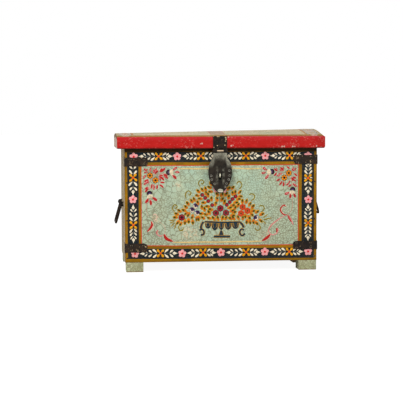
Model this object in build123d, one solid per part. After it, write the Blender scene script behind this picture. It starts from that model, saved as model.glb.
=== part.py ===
"""A damchiya: a painted wooden dowry chest with a lapped, gently crowned lid.

Lengths are millimetres. X runs along the front, -Y is the front and +Z is up. The
origin is on the floor, under the middle of the chest's overall footprint.

The carcass is a nailed box of panels on four rebated foot blocks. The lid is a cap:
its front and end rails hang outside the panels, its boards rest on their top edges,
and two iron hinges carry it at the back. An iron hasp hangs from the lid's front rail
over a staple in the front panel, and a bail handle swings in two staples at each end.
"""
from build123d import *
from math import asin, degrees
import os

# --- Carcass -----------------------------------------------------------------------
BODY_LENGTH = 650.0
BODY_DEPTH = 360.0
PANEL = 14.0                  # thickness of the front, back and side panels
FRONT_SHOWING = 381.0         # height of the front between its lower edge and the lid
LID_LAP = 27.0                # how far the front and side panels reach up into the lid
FLOOR_THICKNESS = 12.0
FLOOR_RISE = 12.0             # underside of the floor above the panels' lower edges
FLOOR_BOARDS = 3
BOARD_GAP = 0.4               # shrinkage gap between neighbouring boards
PANEL_EDGE = 1.2              # worn rounding of the panels' outer edges

FOOT_HEIGHT = 33.0
FOOT_DEPTH = 58.0
FOOT_WIDTH = {"left": 58.0, "right": 61.0}
FOOT_INSET = {"left": 3.0, "right": 1.0}        # foot's outer side in from the chest's end
FOOT_EDGE = 2.0
BEARER_DROP = 15.0            # how far a floor bearer shows below the panels
BEARER_WIDTH = {"left": 45.0, "right": 57.0}
BEARER_GAP = 1.0              # between a bearer's end and the foot beside it

# --- Lid ---------------------------------------------------------------------------
LID_OVERHANG_END = 25.0       # lid's end beyond the chest's end
LID_CLEAR_FRONT = 2.5         # running gap between the front rail and the front panel
LID_CLEAR_END = 3.0           # running gap between an end rail and a side panel
LID_CLEAR_BACK = 0.5          # gap under the back rail
FRONT_RAIL = 15.5             # thickness of the front rail
BACK_RAIL = 16.0
RAIL_HEIGHT = 39.5
LID_BOARD = 12.0
LID_BOARDS = ("front", "middle", "back")
# The crown's line at each end of the lid is a smooth curve, pulled up by a third of
# the way back and by two thirds. The boards are warped, so the ends differ.
CROWN_FRONT = {"left": 13.3, "right": 15.0}
CROWN_BACK = {"left": 13.3, "right": 42.5}
BATTEN_WIDTH = 34.0
BATTEN_HEIGHT = 16.0          # below the panels' top edges
BATTEN_INSET = 125.0          # batten's middle in from the end of the chest
BATTEN_CLEAR = 4.0            # batten's front end behind the front panel
RAIL_EDGE = 2.0
RAIL_CORNER = 7.0             # rounding of the front rail's lower ends

# --- Nails -------------------------------------------------------------------------
NAIL_RADIUS = 1.4
NAIL_HEAD_RADIUS = 3.6
NAIL_HEAD_TIP = 2.0           # radius of the hammered flat on top of a head
NAIL_HEAD = 1.3
NAIL_LENGTH = 12.0
WOOD_NAIL_LENGTH = 30.0
WOOD_NAIL_HEAD_RADIUS = 2.6
NAIL_CLEAR = 0.05
WOOD_NAIL_ROWS = 4

# --- Hinges ------------------------------------------------------------------------
HINGE_INSET = 125.0           # hinge's middle in from the end of the chest
HINGE_WIDTH = 60.0
HINGE_PLATE = 3.0
HINGE_BODY_LEAF = 62.0
HINGE_LID_LEAF = 35.0
HINGE_KNUCKLE = 6.0           # outer radius
HINGE_PIN = 3.0               # radius
PIN_CLEAR = 0.08              # radial running clearance of every pin
KNUCKLE_GAP = 0.4             # end gap between neighbouring knuckles
HINGE_STANDOFF = 0.5          # knuckle's outside off the back panel
HINGE_MIDDLE_SHARE = 1 / 3    # the lid leaf's knuckle, as a share of the hinge
HINGE_NAIL_EDGE = 12.0        # nail's centre in from a leaf's edge

# --- Hasp --------------------------------------------------------------------------
STRAP_WIDTH = 47.0
STRAP_PLATE = 2.5
STRAP_TURNOVER = 14.0         # leg that is bent over the lid's top edge
STRAP_NAIL_EDGE = 7.0
HASP_X = -7.0                 # middle of the hasp, its strap and its staple
HASP_KNUCKLE = 5.5            # outer radius
HASP_PIN = 2.5                # radius
HASP_PIN_DROP = 7.5           # pin's axis below the lid's lower edge
HASP_PIN_PROUD = 4.0          # pin's axis in front of the front rail
HASP_PLATE = 2.5
HASP_TONGUE = 22.0            # width of the hasp's own knuckle
HASP_SHOULDER = 7.0           # hasp's wide neck starts this far below the pin's axis
HASP_NECK = 46.0              # width at the neck
HASP_BELLY = 79.0             # greatest width
HASP_BELLY_DROP = 76.0        # greatest width below the pin's axis
HASP_LENGTH = 140.5           # tip below the pin's axis
SLOT_WIDTH = 10.5
SLOT_LENGTH = 25.2
SLOT_TOP_DROP = 72.9          # slot's upper end below the pin's axis
BOSS_BORDER = 4.5             # width of the raised border round the slot
BOSS_RISE = 1.2
LIP_RADIUS = 3.6              # the curled finger lip at the hasp's tip
LIP_WIDTH = 20.0
LIP_RAISE = 3.4               # lip's centre above the tip
LIP_WEB = 3.2                 # thickness of the web that joins the lip to the hasp
PIN_PROUD = 1.6               # every pin's end beyond its knuckles
PIN_HEAD = 1.3                # length of a pin's riveted head
PIN_HEAD_RADIUS_EXTRA = 1.2

STAPLE_WIRE = 5.0             # diameter
STAPLE_EYE = 5.6              # clear height inside the staple
STAPLE_TOP_CLEAR = 0.8        # below the slot's upper end
STAPLE_THROUGH = 1.3          # how far the crown reaches into the hanging hasp
STAPLE_DEPTH = 11.5           # legs' length in the wood

# --- Corner straps -----------------------------------------------------------------
CORNER_LENGTH = {"upper_left": 78.5, "upper_right": 81.0,    # along the front
                 "lower_left": 76.0, "lower_right": 83.0}
CORNER_RETURN = 46.0          # round the side
CORNER_HEIGHT = {"upper_left": 30.0, "upper_right": 31.5,
                 "lower_left": 31.0, "lower_right": 29.5}
CORNER_PLATE = 1.8
CORNER_NAIL_EDGE = 7.0
CORNER_Z = {"upper_left": 370.0, "upper_right": 375.5,
            "lower_left": 81.5, "lower_right": 84.5}

# --- Bail handles ------------------------------------------------------------------
BAIL_BAR = 3.75               # radius
BAIL_SPAN = 112.0             # between the arms' centre lines
BAIL_DROP = {"left": 69.0, "right": 71.0}     # pivot to the grip's centre line
BAIL_STUB = 17.0              # trunnion beyond the arm's centre line
BAIL_CORNER = 17.0
BAIL_SHOULDER = 6.5
BAIL_KNOB = 5.4               # radius of the upset end
BAIL_KNOB_LENGTH = 3.5
BAIL_LEAN = 16.0              # degrees out from hanging straight down, at rest
BAIL_PIVOT_OUT = 6.8          # pivot's axis out from the side panel
BAIL_PIVOT_Z = {"left": 221.0, "right": 254.0}
BAIL_PLACE = {"left": 196.0, "right": 152.0}    # middle of the bail behind the front
KEEPER_WIRE = 2.25            # radius of the staples that hold the bail
KEEPER_CLEAR = 0.3
KEEPER_OFFSET = 10.5          # staple beyond the arm's centre line
KEEPER_DEPTH = 12.0           # legs' length in the wood

# --- Places worked out from the sizes ----------------------------------------------
SIDES = {"left": -1, "right": 1}
FRONT_OVERHANG = LID_CLEAR_FRONT + FRONT_RAIL
HASP_REACH = HASP_PIN_PROUD + HASP_PLATE / 2 + 2 * LIP_RADIUS
HINGE_OUT = HINGE_STANDOFF + HINGE_KNUCKLE
HINGE_SPACING = BODY_LENGTH - 2 * HINGE_INSET
BATTEN_SPACING = BODY_LENGTH - 2 * BATTEN_INSET
FRONT_REACH = FRONT_OVERHANG + HASP_REACH
BACK_REACH = HINGE_OUT + HINGE_KNUCKLE
FRONT_Y = FRONT_REACH - (BODY_DEPTH + FRONT_REACH + BACK_REACH) / 2
BACK_Y = FRONT_Y + BODY_DEPTH
HALF_BODY = BODY_LENGTH / 2
HALF_LID = HALF_BODY + LID_OVERHANG_END
INSIDE_X = HALF_BODY - PANEL
INSIDE_FRONT = FRONT_Y + PANEL
INSIDE_BACK = BACK_Y - PANEL
PANEL_LOW = FOOT_HEIGHT
LID_LOW = PANEL_LOW + FRONT_SHOWING
PANEL_TOP = LID_LOW + LID_LAP
LID_EDGE = LID_LOW + RAIL_HEIGHT
ABOVE_LID = LID_EDGE + max(CROWN_BACK.values())
FLOOR_LOW = PANEL_LOW + FLOOR_RISE
FLOOR_TOP = FLOOR_LOW + FLOOR_THICKNESS
RAIL_FACE = FRONT_Y - FRONT_OVERHANG
BOARDS_FRONT = RAIL_FACE + FRONT_RAIL
BOARDS_BACK = BACK_Y - BACK_RAIL
HINGE_AXIS = (BACK_Y + HINGE_OUT, LID_LOW)
HASP_AXIS = (RAIL_FACE - HASP_PIN_PROUD, LID_LOW - HASP_PIN_DROP)
STAPLE_SPREAD = (STAPLE_EYE + STAPLE_WIRE) / 2
STAPLE_Z = HASP_AXIS[1] - SLOT_TOP_DROP - STAPLE_TOP_CLEAR - STAPLE_SPREAD - STAPLE_WIRE / 2
STAPLE_TIP = HASP_AXIS[0] + HASP_PLATE / 2 - STAPLE_THROUGH


def block(x0, x1, y0, y1, z0, z1):
    """A square board between two opposite corners."""
    middle = Pos((x0 + x1) / 2, (y0 + y1) / 2, (z0 + z1) / 2)
    return middle * Box(abs(x1 - x0), abs(y1 - y0), abs(z1 - z0))


def rod(x0, x1, y, z, radius):
    """A round bar along X."""
    return Pos((x0 + x1) / 2, y, z) * Rot(0, 90, 0) * Cylinder(radius, abs(x1 - x0))


def wire_along(path, radius):
    """Round wire bent along a path."""
    return sweep(Plane(origin=path @ 0, z_dir=path % 0) * Circle(radius), path=path)


# --- Nails: each is (head's seat, direction out of the wood, length, head's radius) --
def nail(seat, out, length=NAIL_LENGTH, head=NAIL_HEAD_RADIUS):
    """A forged nail with a low faceted head, its shank in the wood behind the seat."""
    shank = Cylinder(NAIL_RADIUS, length, align=(Align.CENTER, Align.CENTER, Align.MAX))
    tip = min(NAIL_HEAD_TIP, head)
    top = Cone(head, tip, NAIL_HEAD, align=(Align.CENTER, Align.CENTER, Align.MIN))
    return Plane(origin=seat, z_dir=out) * (shank + top)


def flush_nail(seat, out):
    """A long nail whose flat head is driven level with the board."""
    low = (Align.CENTER, Align.CENTER, Align.MAX)
    shape = Cylinder(NAIL_RADIUS, WOOD_NAIL_LENGTH, align=low)
    shape += Cylinder(WOOD_NAIL_HEAD_RADIUS, NAIL_HEAD, align=low)
    return Plane(origin=seat, z_dir=out) * shape


def nail_hole(seat, out, length=NAIL_LENGTH):
    """The hole that a nail's shank fills."""
    hole = Cylinder(NAIL_RADIUS + NAIL_CLEAR, 2 * (length + NAIL_CLEAR))
    return Plane(origin=seat, z_dir=out) * hole


def flush_nail_hole(seat, out):
    """The hole and sunk seat of a flush nail."""
    hole = Cylinder(NAIL_RADIUS + NAIL_CLEAR, 2 * (WOOD_NAIL_LENGTH + NAIL_CLEAR))
    hole += Cylinder(WOOD_NAIL_HEAD_RADIUS + NAIL_CLEAR, 2 * (NAIL_HEAD + NAIL_CLEAR))
    return Plane(origin=seat, z_dir=out) * hole


def spread(low, high, count):
    """Evenly spaced values from low to high."""
    return [low + (high - low) * i / (count - 1) for i in range(count)]


def panel_nail_seats():
    """Nails through the front and back panels into the ends of the side panels."""
    inset = PANEL / 2
    seats = []
    for y, out, top in ((FRONT_Y, (0, -1, 0), PANEL_TOP), (BACK_Y, (0, 1, 0), LID_LOW)):
        for x in (-HALF_BODY + inset, HALF_BODY - inset):
            for z in spread(PANEL_LOW + 2 * inset, top - 2 * inset, WOOD_NAIL_ROWS):
                seats.append(((x, y, z), out))
    return seats


def floor_nail_seats():
    """Two nails through each floor board into each bearer."""
    width = (INSIDE_BACK - INSIDE_FRONT) / FLOOR_BOARDS
    seats = []
    for side, sign in SIDES.items():
        x = sign * (INSIDE_X - BEARER_WIDTH[side] / 2)
        for board in range(FLOOR_BOARDS):
            for share in (0.3, 0.7):
                y = INSIDE_FRONT + width * (board + share)
                if FRONT_Y + FOOT_DEPTH < y < BACK_Y - FOOT_DEPTH:
                    seats.append(((x, y, FLOOR_TOP), (0, 0, 1)))
    return seats


def crown_height(x, y):
    """Height of the lid boards' upper face."""
    share = (x + HALF_LID) / (2 * HALF_LID)
    front, back = [pull["left"] + (pull["right"] - pull["left"]) * share
                   for pull in (CROWN_FRONT, CROWN_BACK)]
    t = (y - BOARDS_FRONT) / (BOARDS_BACK - BOARDS_FRONT)
    return LID_EDGE + 3 * t * (1 - t) * ((1 - t) * front + t * back)


def board_nail_seats():
    """Two nails through each end of each lid board into the end rails."""
    width = (BOARDS_BACK - BOARDS_FRONT) / len(LID_BOARDS)
    seats = []
    for sign in SIDES.values():
        x = sign * (HALF_LID - (LID_OVERHANG_END - LID_CLEAR_END) / 2)
        for board in range(len(LID_BOARDS)):
            for share in (0.25, 0.75):
                y = BOARDS_FRONT + width * (board + share)
                seats.append(((x, y, crown_height(x, y)), (0, 0, 1)))
    return seats


def hinge_nail_seats(leaf):
    """The nails of both hinges' body leaves or lid leaves."""
    y = BACK_Y + HINGE_PLATE
    if leaf == "body":
        rows = (-HINGE_BODY_LEAF + HINGE_NAIL_EDGE, -2 * HINGE_NAIL_EDGE)
    else:
        rows = (HINGE_LID_LEAF - HINGE_NAIL_EDGE,)
    half = HINGE_WIDTH / 2 - HINGE_NAIL_EDGE
    return [((centre + dx, y, LID_LOW + dz), (0, 1, 0))
            for centre in (-HINGE_SPACING / 2, HINGE_SPACING / 2)
            for dx in (-half, half) for dz in rows]


def strap_nail_seats():
    """Four nails through the hasp's strap into the front rail, one near each corner."""
    half = STRAP_WIDTH / 2 - STRAP_NAIL_EDGE
    rows = (LID_LOW + STRAP_NAIL_EDGE, LID_EDGE - STRAP_NAIL_EDGE)
    y = RAIL_FACE - STRAP_PLATE
    return [((HASP_X + dx, y, z), (0, -1, 0)) for dx in (-half, half) for z in rows]


def corner_nail_seats(name):
    """Four nails in a corner strap's front leg and two in its return."""
    sign = SIDES[name.split("_")[1]]
    z = CORNER_Z[name]
    row = CORNER_HEIGHT[name] / 2 - CORNER_NAIL_EDGE
    seats = []
    for reach in (CORNER_NAIL_EDGE + PANEL, CORNER_LENGTH[name] - 2 * CORNER_NAIL_EDGE):
        for dz in (-row, row):
            seat = (sign * (HALF_BODY - reach), FRONT_Y - CORNER_PLATE, z + dz)
            seats.append((seat, (0, -1, 0)))
    for dz in (-row, row):
        y = FRONT_Y + CORNER_RETURN - CORNER_NAIL_EDGE
        seats.append(((sign * (HALF_BODY + CORNER_PLATE), y, z + dz), (sign, 0, 0)))
    return seats


CORNER_NAILS = [seat for name in CORNER_Z for seat in corner_nail_seats(name)]


def with_holes(piece, seats, hole=nail_hole):
    """A piece less the holes of the nails that pass into it."""
    box = piece.bounding_box()
    grip = max(NAIL_LENGTH, WOOD_NAIL_LENGTH)
    for seat, out in seats:
        near = all(low - grip <= at <= high + grip
                   for low, at, high in zip(box.min, seat, box.max))
        if near:
            piece -= hole(seat, out)
    return piece


# --- Carcass -----------------------------------------------------------------------
def staple_holes():
    """Holes in the front panel for the legs of the hasp's staple."""
    radius = STAPLE_WIRE / 2 + NAIL_CLEAR
    depth = STAPLE_DEPTH + NAIL_CLEAR
    legs = [Pos(HASP_X, FRONT_Y, STAPLE_Z + dz) * Rot(90, 0, 0) * Cylinder(radius, 2 * depth)
            for dz in (-STAPLE_SPREAD, STAPLE_SPREAD)]
    return Part() + legs


def front_panel():
    """The painted front, in one wide board from the feet up into the lid."""
    board = block(-HALF_BODY, HALF_BODY, FRONT_Y, INSIDE_FRONT, PANEL_LOW, PANEL_TOP)
    board = fillet(board.edges().group_by(Axis.Y)[0], PANEL_EDGE)
    board = with_holes(board, panel_nail_seats(), flush_nail_hole)
    return with_holes(board, CORNER_NAILS) - staple_holes()


def back_panel():
    """The back, which stops below the lid's back rail."""
    top = LID_LOW - LID_CLEAR_BACK
    board = block(-HALF_BODY, HALF_BODY, INSIDE_BACK, BACK_Y, PANEL_LOW, top)
    board = fillet(board.edges().group_by(Axis.Y)[-1], PANEL_EDGE)
    board = with_holes(board, panel_nail_seats(), flush_nail_hole)
    return with_holes(board, hinge_nail_seats("body"))


def keeper_places(side):
    """Centres of the two staples that hold one bail, on the pivot's axis."""
    x = SIDES[side] * (HALF_BODY + BAIL_PIVOT_OUT)
    middle = FRONT_Y + BAIL_PLACE[side]
    reach = BAIL_SPAN / 2 + KEEPER_OFFSET
    return [(x, middle + dy, BAIL_PIVOT_Z[side]) for dy in (-reach, reach)]


def keeper_radius():
    """Radius of a bail staple's bend, at the middle of its wire."""
    return BAIL_BAR + KEEPER_CLEAR + KEEPER_WIRE


def side_panel(side):
    """An end of the chest, set between the front and back panels."""
    sign = SIDES[side]
    ends = sorted((sign * INSIDE_X, sign * HALF_BODY))
    board = block(*ends, INSIDE_FRONT, INSIDE_BACK, PANEL_LOW, PANEL_TOP)
    notch = BOARDS_BACK - LID_CLEAR_FRONT
    board -= block(*ends, notch, INSIDE_BACK, LID_LOW - LID_CLEAR_BACK, PANEL_TOP)
    radius = KEEPER_WIRE + NAIL_CLEAR
    depth = KEEPER_DEPTH + NAIL_CLEAR
    for _, y, z in keeper_places(side):
        for dz in (-keeper_radius(), keeper_radius()):
            board -= rod(sign * (HALF_BODY - depth), sign * (HALF_BODY + depth), y, z + dz, radius)
    board = with_holes(board, panel_nail_seats(), flush_nail_hole)
    return with_holes(board, CORNER_NAILS)


def floor_boards():
    """The chest's floor: long boards laid side by side on the bearers and feet."""
    width = (INSIDE_BACK - INSIDE_FRONT) / FLOOR_BOARDS
    boards = []
    for i in range(FLOOR_BOARDS):
        y = INSIDE_FRONT + i * width
        board = block(-INSIDE_X, INSIDE_X, y + BOARD_GAP / 2, y + width - BOARD_GAP / 2,
                      FLOOR_LOW, FLOOR_TOP)
        boards.append(with_holes(board, floor_nail_seats(), flush_nail_hole))
    return boards


def bearer(side):
    """A floor bearer between the front foot and the back foot."""
    sign = SIDES[side]
    gap = FOOT_DEPTH + BEARER_GAP
    bar = block(sign * INSIDE_X, sign * (INSIDE_X - BEARER_WIDTH[side]),
                FRONT_Y + gap, BACK_Y - gap, PANEL_LOW - BEARER_DROP, FLOOR_LOW)
    return with_holes(bar, floor_nail_seats(), flush_nail_hole)


def foot(end, side):
    """A foot block with a rebated shoulder that fits up inside the corner."""
    sign = SIDES[side]
    if end == "front":
        face, back, inner = FRONT_Y, FRONT_Y + FOOT_DEPTH, INSIDE_FRONT
    else:
        face, back, inner = BACK_Y, BACK_Y - FOOT_DEPTH, INSIDE_BACK
    outside = sign * (HALF_BODY - FOOT_INSET[side])
    inside = outside - sign * FOOT_WIDTH[side]
    base = block(outside, inside, face, back, 0, PANEL_LOW)
    upright = base.edges().filter_by(Axis.Z) + base.edges().group_by(Axis.Z)[0]
    base = fillet(upright, FOOT_EDGE)
    return base + block(sign * INSIDE_X, inside, inner, back, PANEL_LOW - FOOT_EDGE, FLOOR_LOW)


# --- Lid ---------------------------------------------------------------------------
def crown_line(side, height):
    """The crown's line across one end of the lid, its edges at a height."""
    third = (BOARDS_BACK - BOARDS_FRONT) / 3
    return Bezier((BOARDS_FRONT, height),
                  (BOARDS_FRONT + third, height + CROWN_FRONT[side]),
                  (BOARDS_BACK - third, height + CROWN_BACK[side]), (BOARDS_BACK, height))


def crown_face(side, top, bottom=None):
    """A section at one end of the lid: the crown above, and a line or a like curve below."""
    if bottom is None:
        bottom = top - LID_BOARD
        lower = crown_line(side, bottom)
    else:
        lower = Line((BOARDS_FRONT, bottom), (BOARDS_BACK, bottom))
    front = Line((BOARDS_FRONT, bottom), (BOARDS_FRONT, top))
    back = Line((BOARDS_BACK, bottom), (BOARDS_BACK, top))
    lines = [crown_line(side, top), back, lower, front]
    return Plane.YZ.offset(SIDES[side] * HALF_LID) * make_face(Curve() + lines)


def crown_body(top, bottom=None):
    """The warped crown's full-length form, from the left end's section to the right's."""
    return loft([crown_face(side, top, bottom) for side in SIDES], ruled=True)


def lid_front_rail():
    """The rail across the lid's front, outside the front panel."""
    rail = block(-HALF_LID, HALF_LID, RAIL_FACE, BOARDS_FRONT, LID_LOW, LID_EDGE)
    rail = fillet(rail.edges().filter_by(Axis.Y).group_by(Axis.Z)[0], RAIL_CORNER)
    rail = fillet(rail.edges().group_by(Axis.Y)[0], RAIL_EDGE)
    return with_holes(rail, strap_nail_seats())


def lid_back_rail():
    """The rail across the lid's back, above the back panel, which the hinges carry."""
    rail = block(-HALF_LID, HALF_LID, BOARDS_BACK, BACK_Y, LID_LOW, LID_EDGE)
    rail = fillet(rail.edges().group_by(Axis.Y)[-1], RAIL_EDGE)
    return with_holes(rail, hinge_nail_seats("lid"))


def lid_end_rail(side):
    """The rail across one end of the lid, its top cut to the crown of the boards."""
    sign = SIDES[side]
    slab = block(sign * (HALF_BODY + LID_CLEAR_END), sign * HALF_LID,
                 BOARDS_FRONT, BOARDS_BACK, LID_LOW, ABOVE_LID)
    rail = crown_body(LID_EDGE - LID_BOARD, LID_LOW) & slab
    return with_holes(rail, board_nail_seats(), flush_nail_hole)


def lid_board(name):
    """One of the lengthwise boards of the lid's crowned top."""
    width = (BOARDS_BACK - BOARDS_FRONT) / len(LID_BOARDS)
    y = BOARDS_FRONT + LID_BOARDS.index(name) * width
    slab = block(-HALF_LID, HALF_LID, y + BOARD_GAP / 2, y + width - BOARD_GAP / 2,
                 LID_LOW, ABOVE_LID)
    return with_holes(crown_body(LID_EDGE) & slab, board_nail_seats(), flush_nail_hole)


def lid_battens():
    """Two battens across the underside of the lid's boards."""
    under = crown_body(LID_EDGE - LID_BOARD, LID_LOW)
    low = LID_EDGE - LID_BOARD - BATTEN_HEIGHT
    battens = []
    for sign in SIDES.values():
        x = sign * BATTEN_SPACING / 2
        slab = block(x - BATTEN_WIDTH / 2, x + BATTEN_WIDTH / 2,
                     INSIDE_FRONT + BATTEN_CLEAR, BOARDS_BACK, low, ABOVE_LID)
        battens.append(under & slab)
    return battens


# --- Hinges ------------------------------------------------------------------------
def knuckle_spans(width, middle):
    """X ranges of the two outer knuckles and of the middle one, about zero."""
    half = width / 2
    inner = middle / 2
    outer = [(-half, -inner - KNUCKLE_GAP), (inner + KNUCKLE_GAP, half)]
    return outer, [(-inner, inner)]


def hinge_leaf(side, leaf):
    """One leaf of a hinge: a plate on the back, cut and rolled round the pin."""
    centre = SIDES[side] * HINGE_SPACING / 2
    half = HINGE_WIDTH / 2
    y, z = HINGE_AXIS
    outer, middle = knuckle_spans(HINGE_WIDTH, HINGE_WIDTH * HINGE_MIDDLE_SHARE)
    if leaf == "body":
        own, other = outer, middle
        low, high = z - HINGE_BODY_LEAF, z
    else:
        own, other = middle, outer
        low, high = z, z + HINGE_LID_LEAF
    shape = block(centre - half, centre + half, BACK_Y, BACK_Y + HINGE_PLATE, low, high)
    for x0, x1 in other:
        room = HINGE_KNUCKLE + KNUCKLE_GAP
        shape -= rod(centre + x0 - KNUCKLE_GAP, centre + x1 + KNUCKLE_GAP, y, z, room)
    for x0, x1 in own:
        shape += rod(centre + x0, centre + x1, y, z, HINGE_KNUCKLE)
    shape -= rod(centre - half, centre + half, y, z, HINGE_PIN + PIN_CLEAR)
    return with_holes(shape, hinge_nail_seats(leaf))


def pin(x0, x1, y, z, radius):
    """A pin between riveted heads that stand just clear of the knuckles."""
    head = radius + PIN_HEAD_RADIUS_EXTRA
    shape = rod(x0 - PIN_PROUD, x1 + PIN_PROUD, y, z, radius)
    shape += rod(x0 - PIN_PROUD, x0 - PIN_PROUD + PIN_HEAD, y, z, head)
    return shape + rod(x1 + PIN_PROUD - PIN_HEAD, x1 + PIN_PROUD, y, z, head)


def hinge_pin(side):
    """The pin of one lid hinge."""
    centre = SIDES[side] * HINGE_SPACING / 2
    half = HINGE_WIDTH / 2
    return pin(centre - half, centre + half, *HINGE_AXIS, HINGE_PIN)


# --- Hasp --------------------------------------------------------------------------
def hasp_lid_strap():
    """The strap bent over the lid's front edge, with the hasp's outer knuckles."""
    half = STRAP_WIDTH / 2
    y, z = HASP_AXIS
    face = RAIL_FACE - STRAP_PLATE
    shape = block(-half, half, face, RAIL_FACE, LID_LOW, LID_EDGE + STRAP_PLATE)
    shape += block(-half, half, RAIL_FACE, RAIL_FACE + STRAP_TURNOVER,
                   LID_EDGE, LID_EDGE + STRAP_PLATE)
    bend = shape.edges().filter_by(Axis.X).group_by(Axis.Z)[-1].sort_by(Axis.Y)[0]
    shape = fillet(bend, STRAP_PLATE * 0.8)
    outer, _ = knuckle_spans(STRAP_WIDTH, HASP_TONGUE)
    for x0, x1 in outer:
        shape += block(x0, x1, face, RAIL_FACE, z, LID_LOW)
        shape += rod(x0, x1, y, z, HASP_KNUCKLE)
    shape -= rod(-half, half, y, z, HASP_PIN + PIN_CLEAR)
    return with_holes(Pos(HASP_X, 0, 0) * shape, strap_nail_seats())


def hasp_outline():
    """The hasp's drop-shaped face, on X and Z, with the pin's axis at its origin."""
    neck, belly = HASP_NECK / 2, HASP_BELLY / 2
    waist = HASP_BELLY_DROP * 0.26
    tail = HASP_LENGTH - HASP_BELLY_DROP
    right = Spline((neck, -waist), (belly * 0.81, -HASP_BELLY_DROP * 0.47),
                   (belly, -HASP_BELLY_DROP), (belly * 0.87, -HASP_BELLY_DROP - tail * 0.4),
                   (belly * 0.51, -HASP_BELLY_DROP - tail * 0.78), (0, -HASP_LENGTH),
                   tangents=[(0.3, -1), (-1, -0.25)])
    half = Curve() + [Line((0, -HASP_SHOULDER), (neck, -HASP_SHOULDER)),
                      Line((neck, -HASP_SHOULDER), (neck, -waist)), right,
                      Line((0, -HASP_LENGTH), (0, -HASP_SHOULDER))]
    face = make_face(half)
    return face + mirror(face, about=Plane.YZ)


def hasp_plate():
    """The swinging hasp: a drop-shaped plate with a bordered slot and a finger lip."""
    y, z = HASP_AXIS
    front = Plane(origin=(0, y, z), x_dir=(1, 0, 0), z_dir=(0, -1, 0))
    half = HASP_PLATE / 2
    shape = front.offset(-half) * extrude(hasp_outline(), HASP_PLATE)
    tongue = HASP_TONGUE / 2
    shape += block(-tongue, tongue, y - half, y + half, z - HASP_SHOULDER * 1.5, z)
    shape += rod(-tongue, tongue, y, z, HASP_KNUCKLE)
    slot_middle = -SLOT_TOP_DROP - SLOT_LENGTH / 2
    border = Pos(0, slot_middle) * SlotOverall(
        SLOT_LENGTH + 2 * BOSS_BORDER, SLOT_WIDTH + 2 * BOSS_BORDER, rotation=90)
    shape += front * extrude(border, half + BOSS_RISE)
    lip_y = y - half - LIP_RADIUS
    lip_z = z - HASP_LENGTH + LIP_RAISE
    lip = rod(-LIP_WIDTH / 2, LIP_WIDTH / 2, lip_y, lip_z, LIP_RADIUS)
    shape += fillet(lip.edges(), LIP_RADIUS * 0.6)
    web = LIP_WIDTH * 0.3
    shape += block(-web, web, lip_y, y, lip_z - LIP_WEB / 2, lip_z + LIP_WEB / 2)
    shape -= rod(-tongue, tongue, y, z, HASP_PIN + PIN_CLEAR)
    slot = Pos(0, slot_middle) * SlotOverall(SLOT_LENGTH, SLOT_WIDTH, rotation=90)
    return Pos(HASP_X, 0, 0) * (shape - front * extrude(slot, HASP_PLATE * 2, both=True))


def hasp_staple():
    """The staple in the front panel, one leg above the other, that a padlock closes."""
    crown = STAPLE_TIP + STAPLE_WIRE / 2 + STAPLE_SPREAD
    inside = FRONT_Y + STAPLE_DEPTH
    top, low = STAPLE_Z + STAPLE_SPREAD, STAPLE_Z - STAPLE_SPREAD
    path = Line((0, inside, low), (0, crown, low))
    path += ThreePointArc((0, crown, low), (0, crown - STAPLE_SPREAD, STAPLE_Z), (0, crown, top))
    path += Line((0, crown, top), (0, inside, top))
    return Pos(HASP_X, 0, 0) * wire_along(path, STAPLE_WIRE / 2)


# --- Corner straps -----------------------------------------------------------------
def corner_strap(name):
    """A hand-cut iron strap round a corner, ragged at the end of its front leg."""
    height, side = name.split("_")
    sign = SIDES[side]
    top = CORNER_HEIGHT[name] / 2
    end = CORNER_LENGTH[name] + CORNER_PLATE
    bite = 0.06 if height == "upper" else 0.09
    ragged = [(0, top), (0.4, top * (1 - bite)), (0.8, top), (0.955, top * (1 - 2 * bite)),
              (1, top * 0.3), (0.965, 0), (0.99, -top * 0.35), (0.93, -top * (1 - bite)),
              (0.55, -top), (0.25, -top * (1 - bite)), (0, -top)]
    points = [(share * end, z) for share, z in ragged]
    corner = (sign * (HALF_BODY + CORNER_PLATE), FRONT_Y, CORNER_Z[name])
    face = Plane(origin=corner, x_dir=(-sign, 0, 0), z_dir=(0, sign, 0))
    shape = face * extrude(make_face(Polyline(*points, close=True)), -sign * CORNER_PLATE)
    shape += block(sign * HALF_BODY, sign * (HALF_BODY + CORNER_PLATE),
                   FRONT_Y - CORNER_PLATE, FRONT_Y + CORNER_RETURN,
                   CORNER_Z[name] - top, CORNER_Z[name] + top)
    return with_holes(shape, corner_nail_seats(name))


# --- Bail handles ------------------------------------------------------------------
def bail(side):
    """A bail: a round bar bent to a U, its ends turned out as trunnions."""
    sign = SIDES[side]
    half = BAIL_SPAN / 2
    end = half + BAIL_STUB
    drop = BAIL_DROP[side]
    path = FilletPolyline((0, -end, 0), (0, -half, 0), (0, -half, -drop),
                          (0, half, -drop), (0, half, 0), (0, end, 0),
                          radius=[BAIL_SHOULDER, BAIL_CORNER, BAIL_CORNER, BAIL_SHOULDER])
    shape = wire_along(path, BAIL_BAR)
    for turn in (-1, 1):
        middle = turn * (end + BAIL_KNOB_LENGTH / 2)
        knob = Pos(0, middle, 0) * Rot(90, 0, 0) * Cylinder(BAIL_KNOB, BAIL_KNOB_LENGTH)
        shape += fillet(knob.edges(), BAIL_KNOB_LENGTH * 0.4)
    place = Pos(sign * (HALF_BODY + BAIL_PIVOT_OUT), FRONT_Y + BAIL_PLACE[side],
                BAIL_PIVOT_Z[side])
    return place * Rot(0, -sign * BAIL_LEAN, 0) * shape


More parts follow.
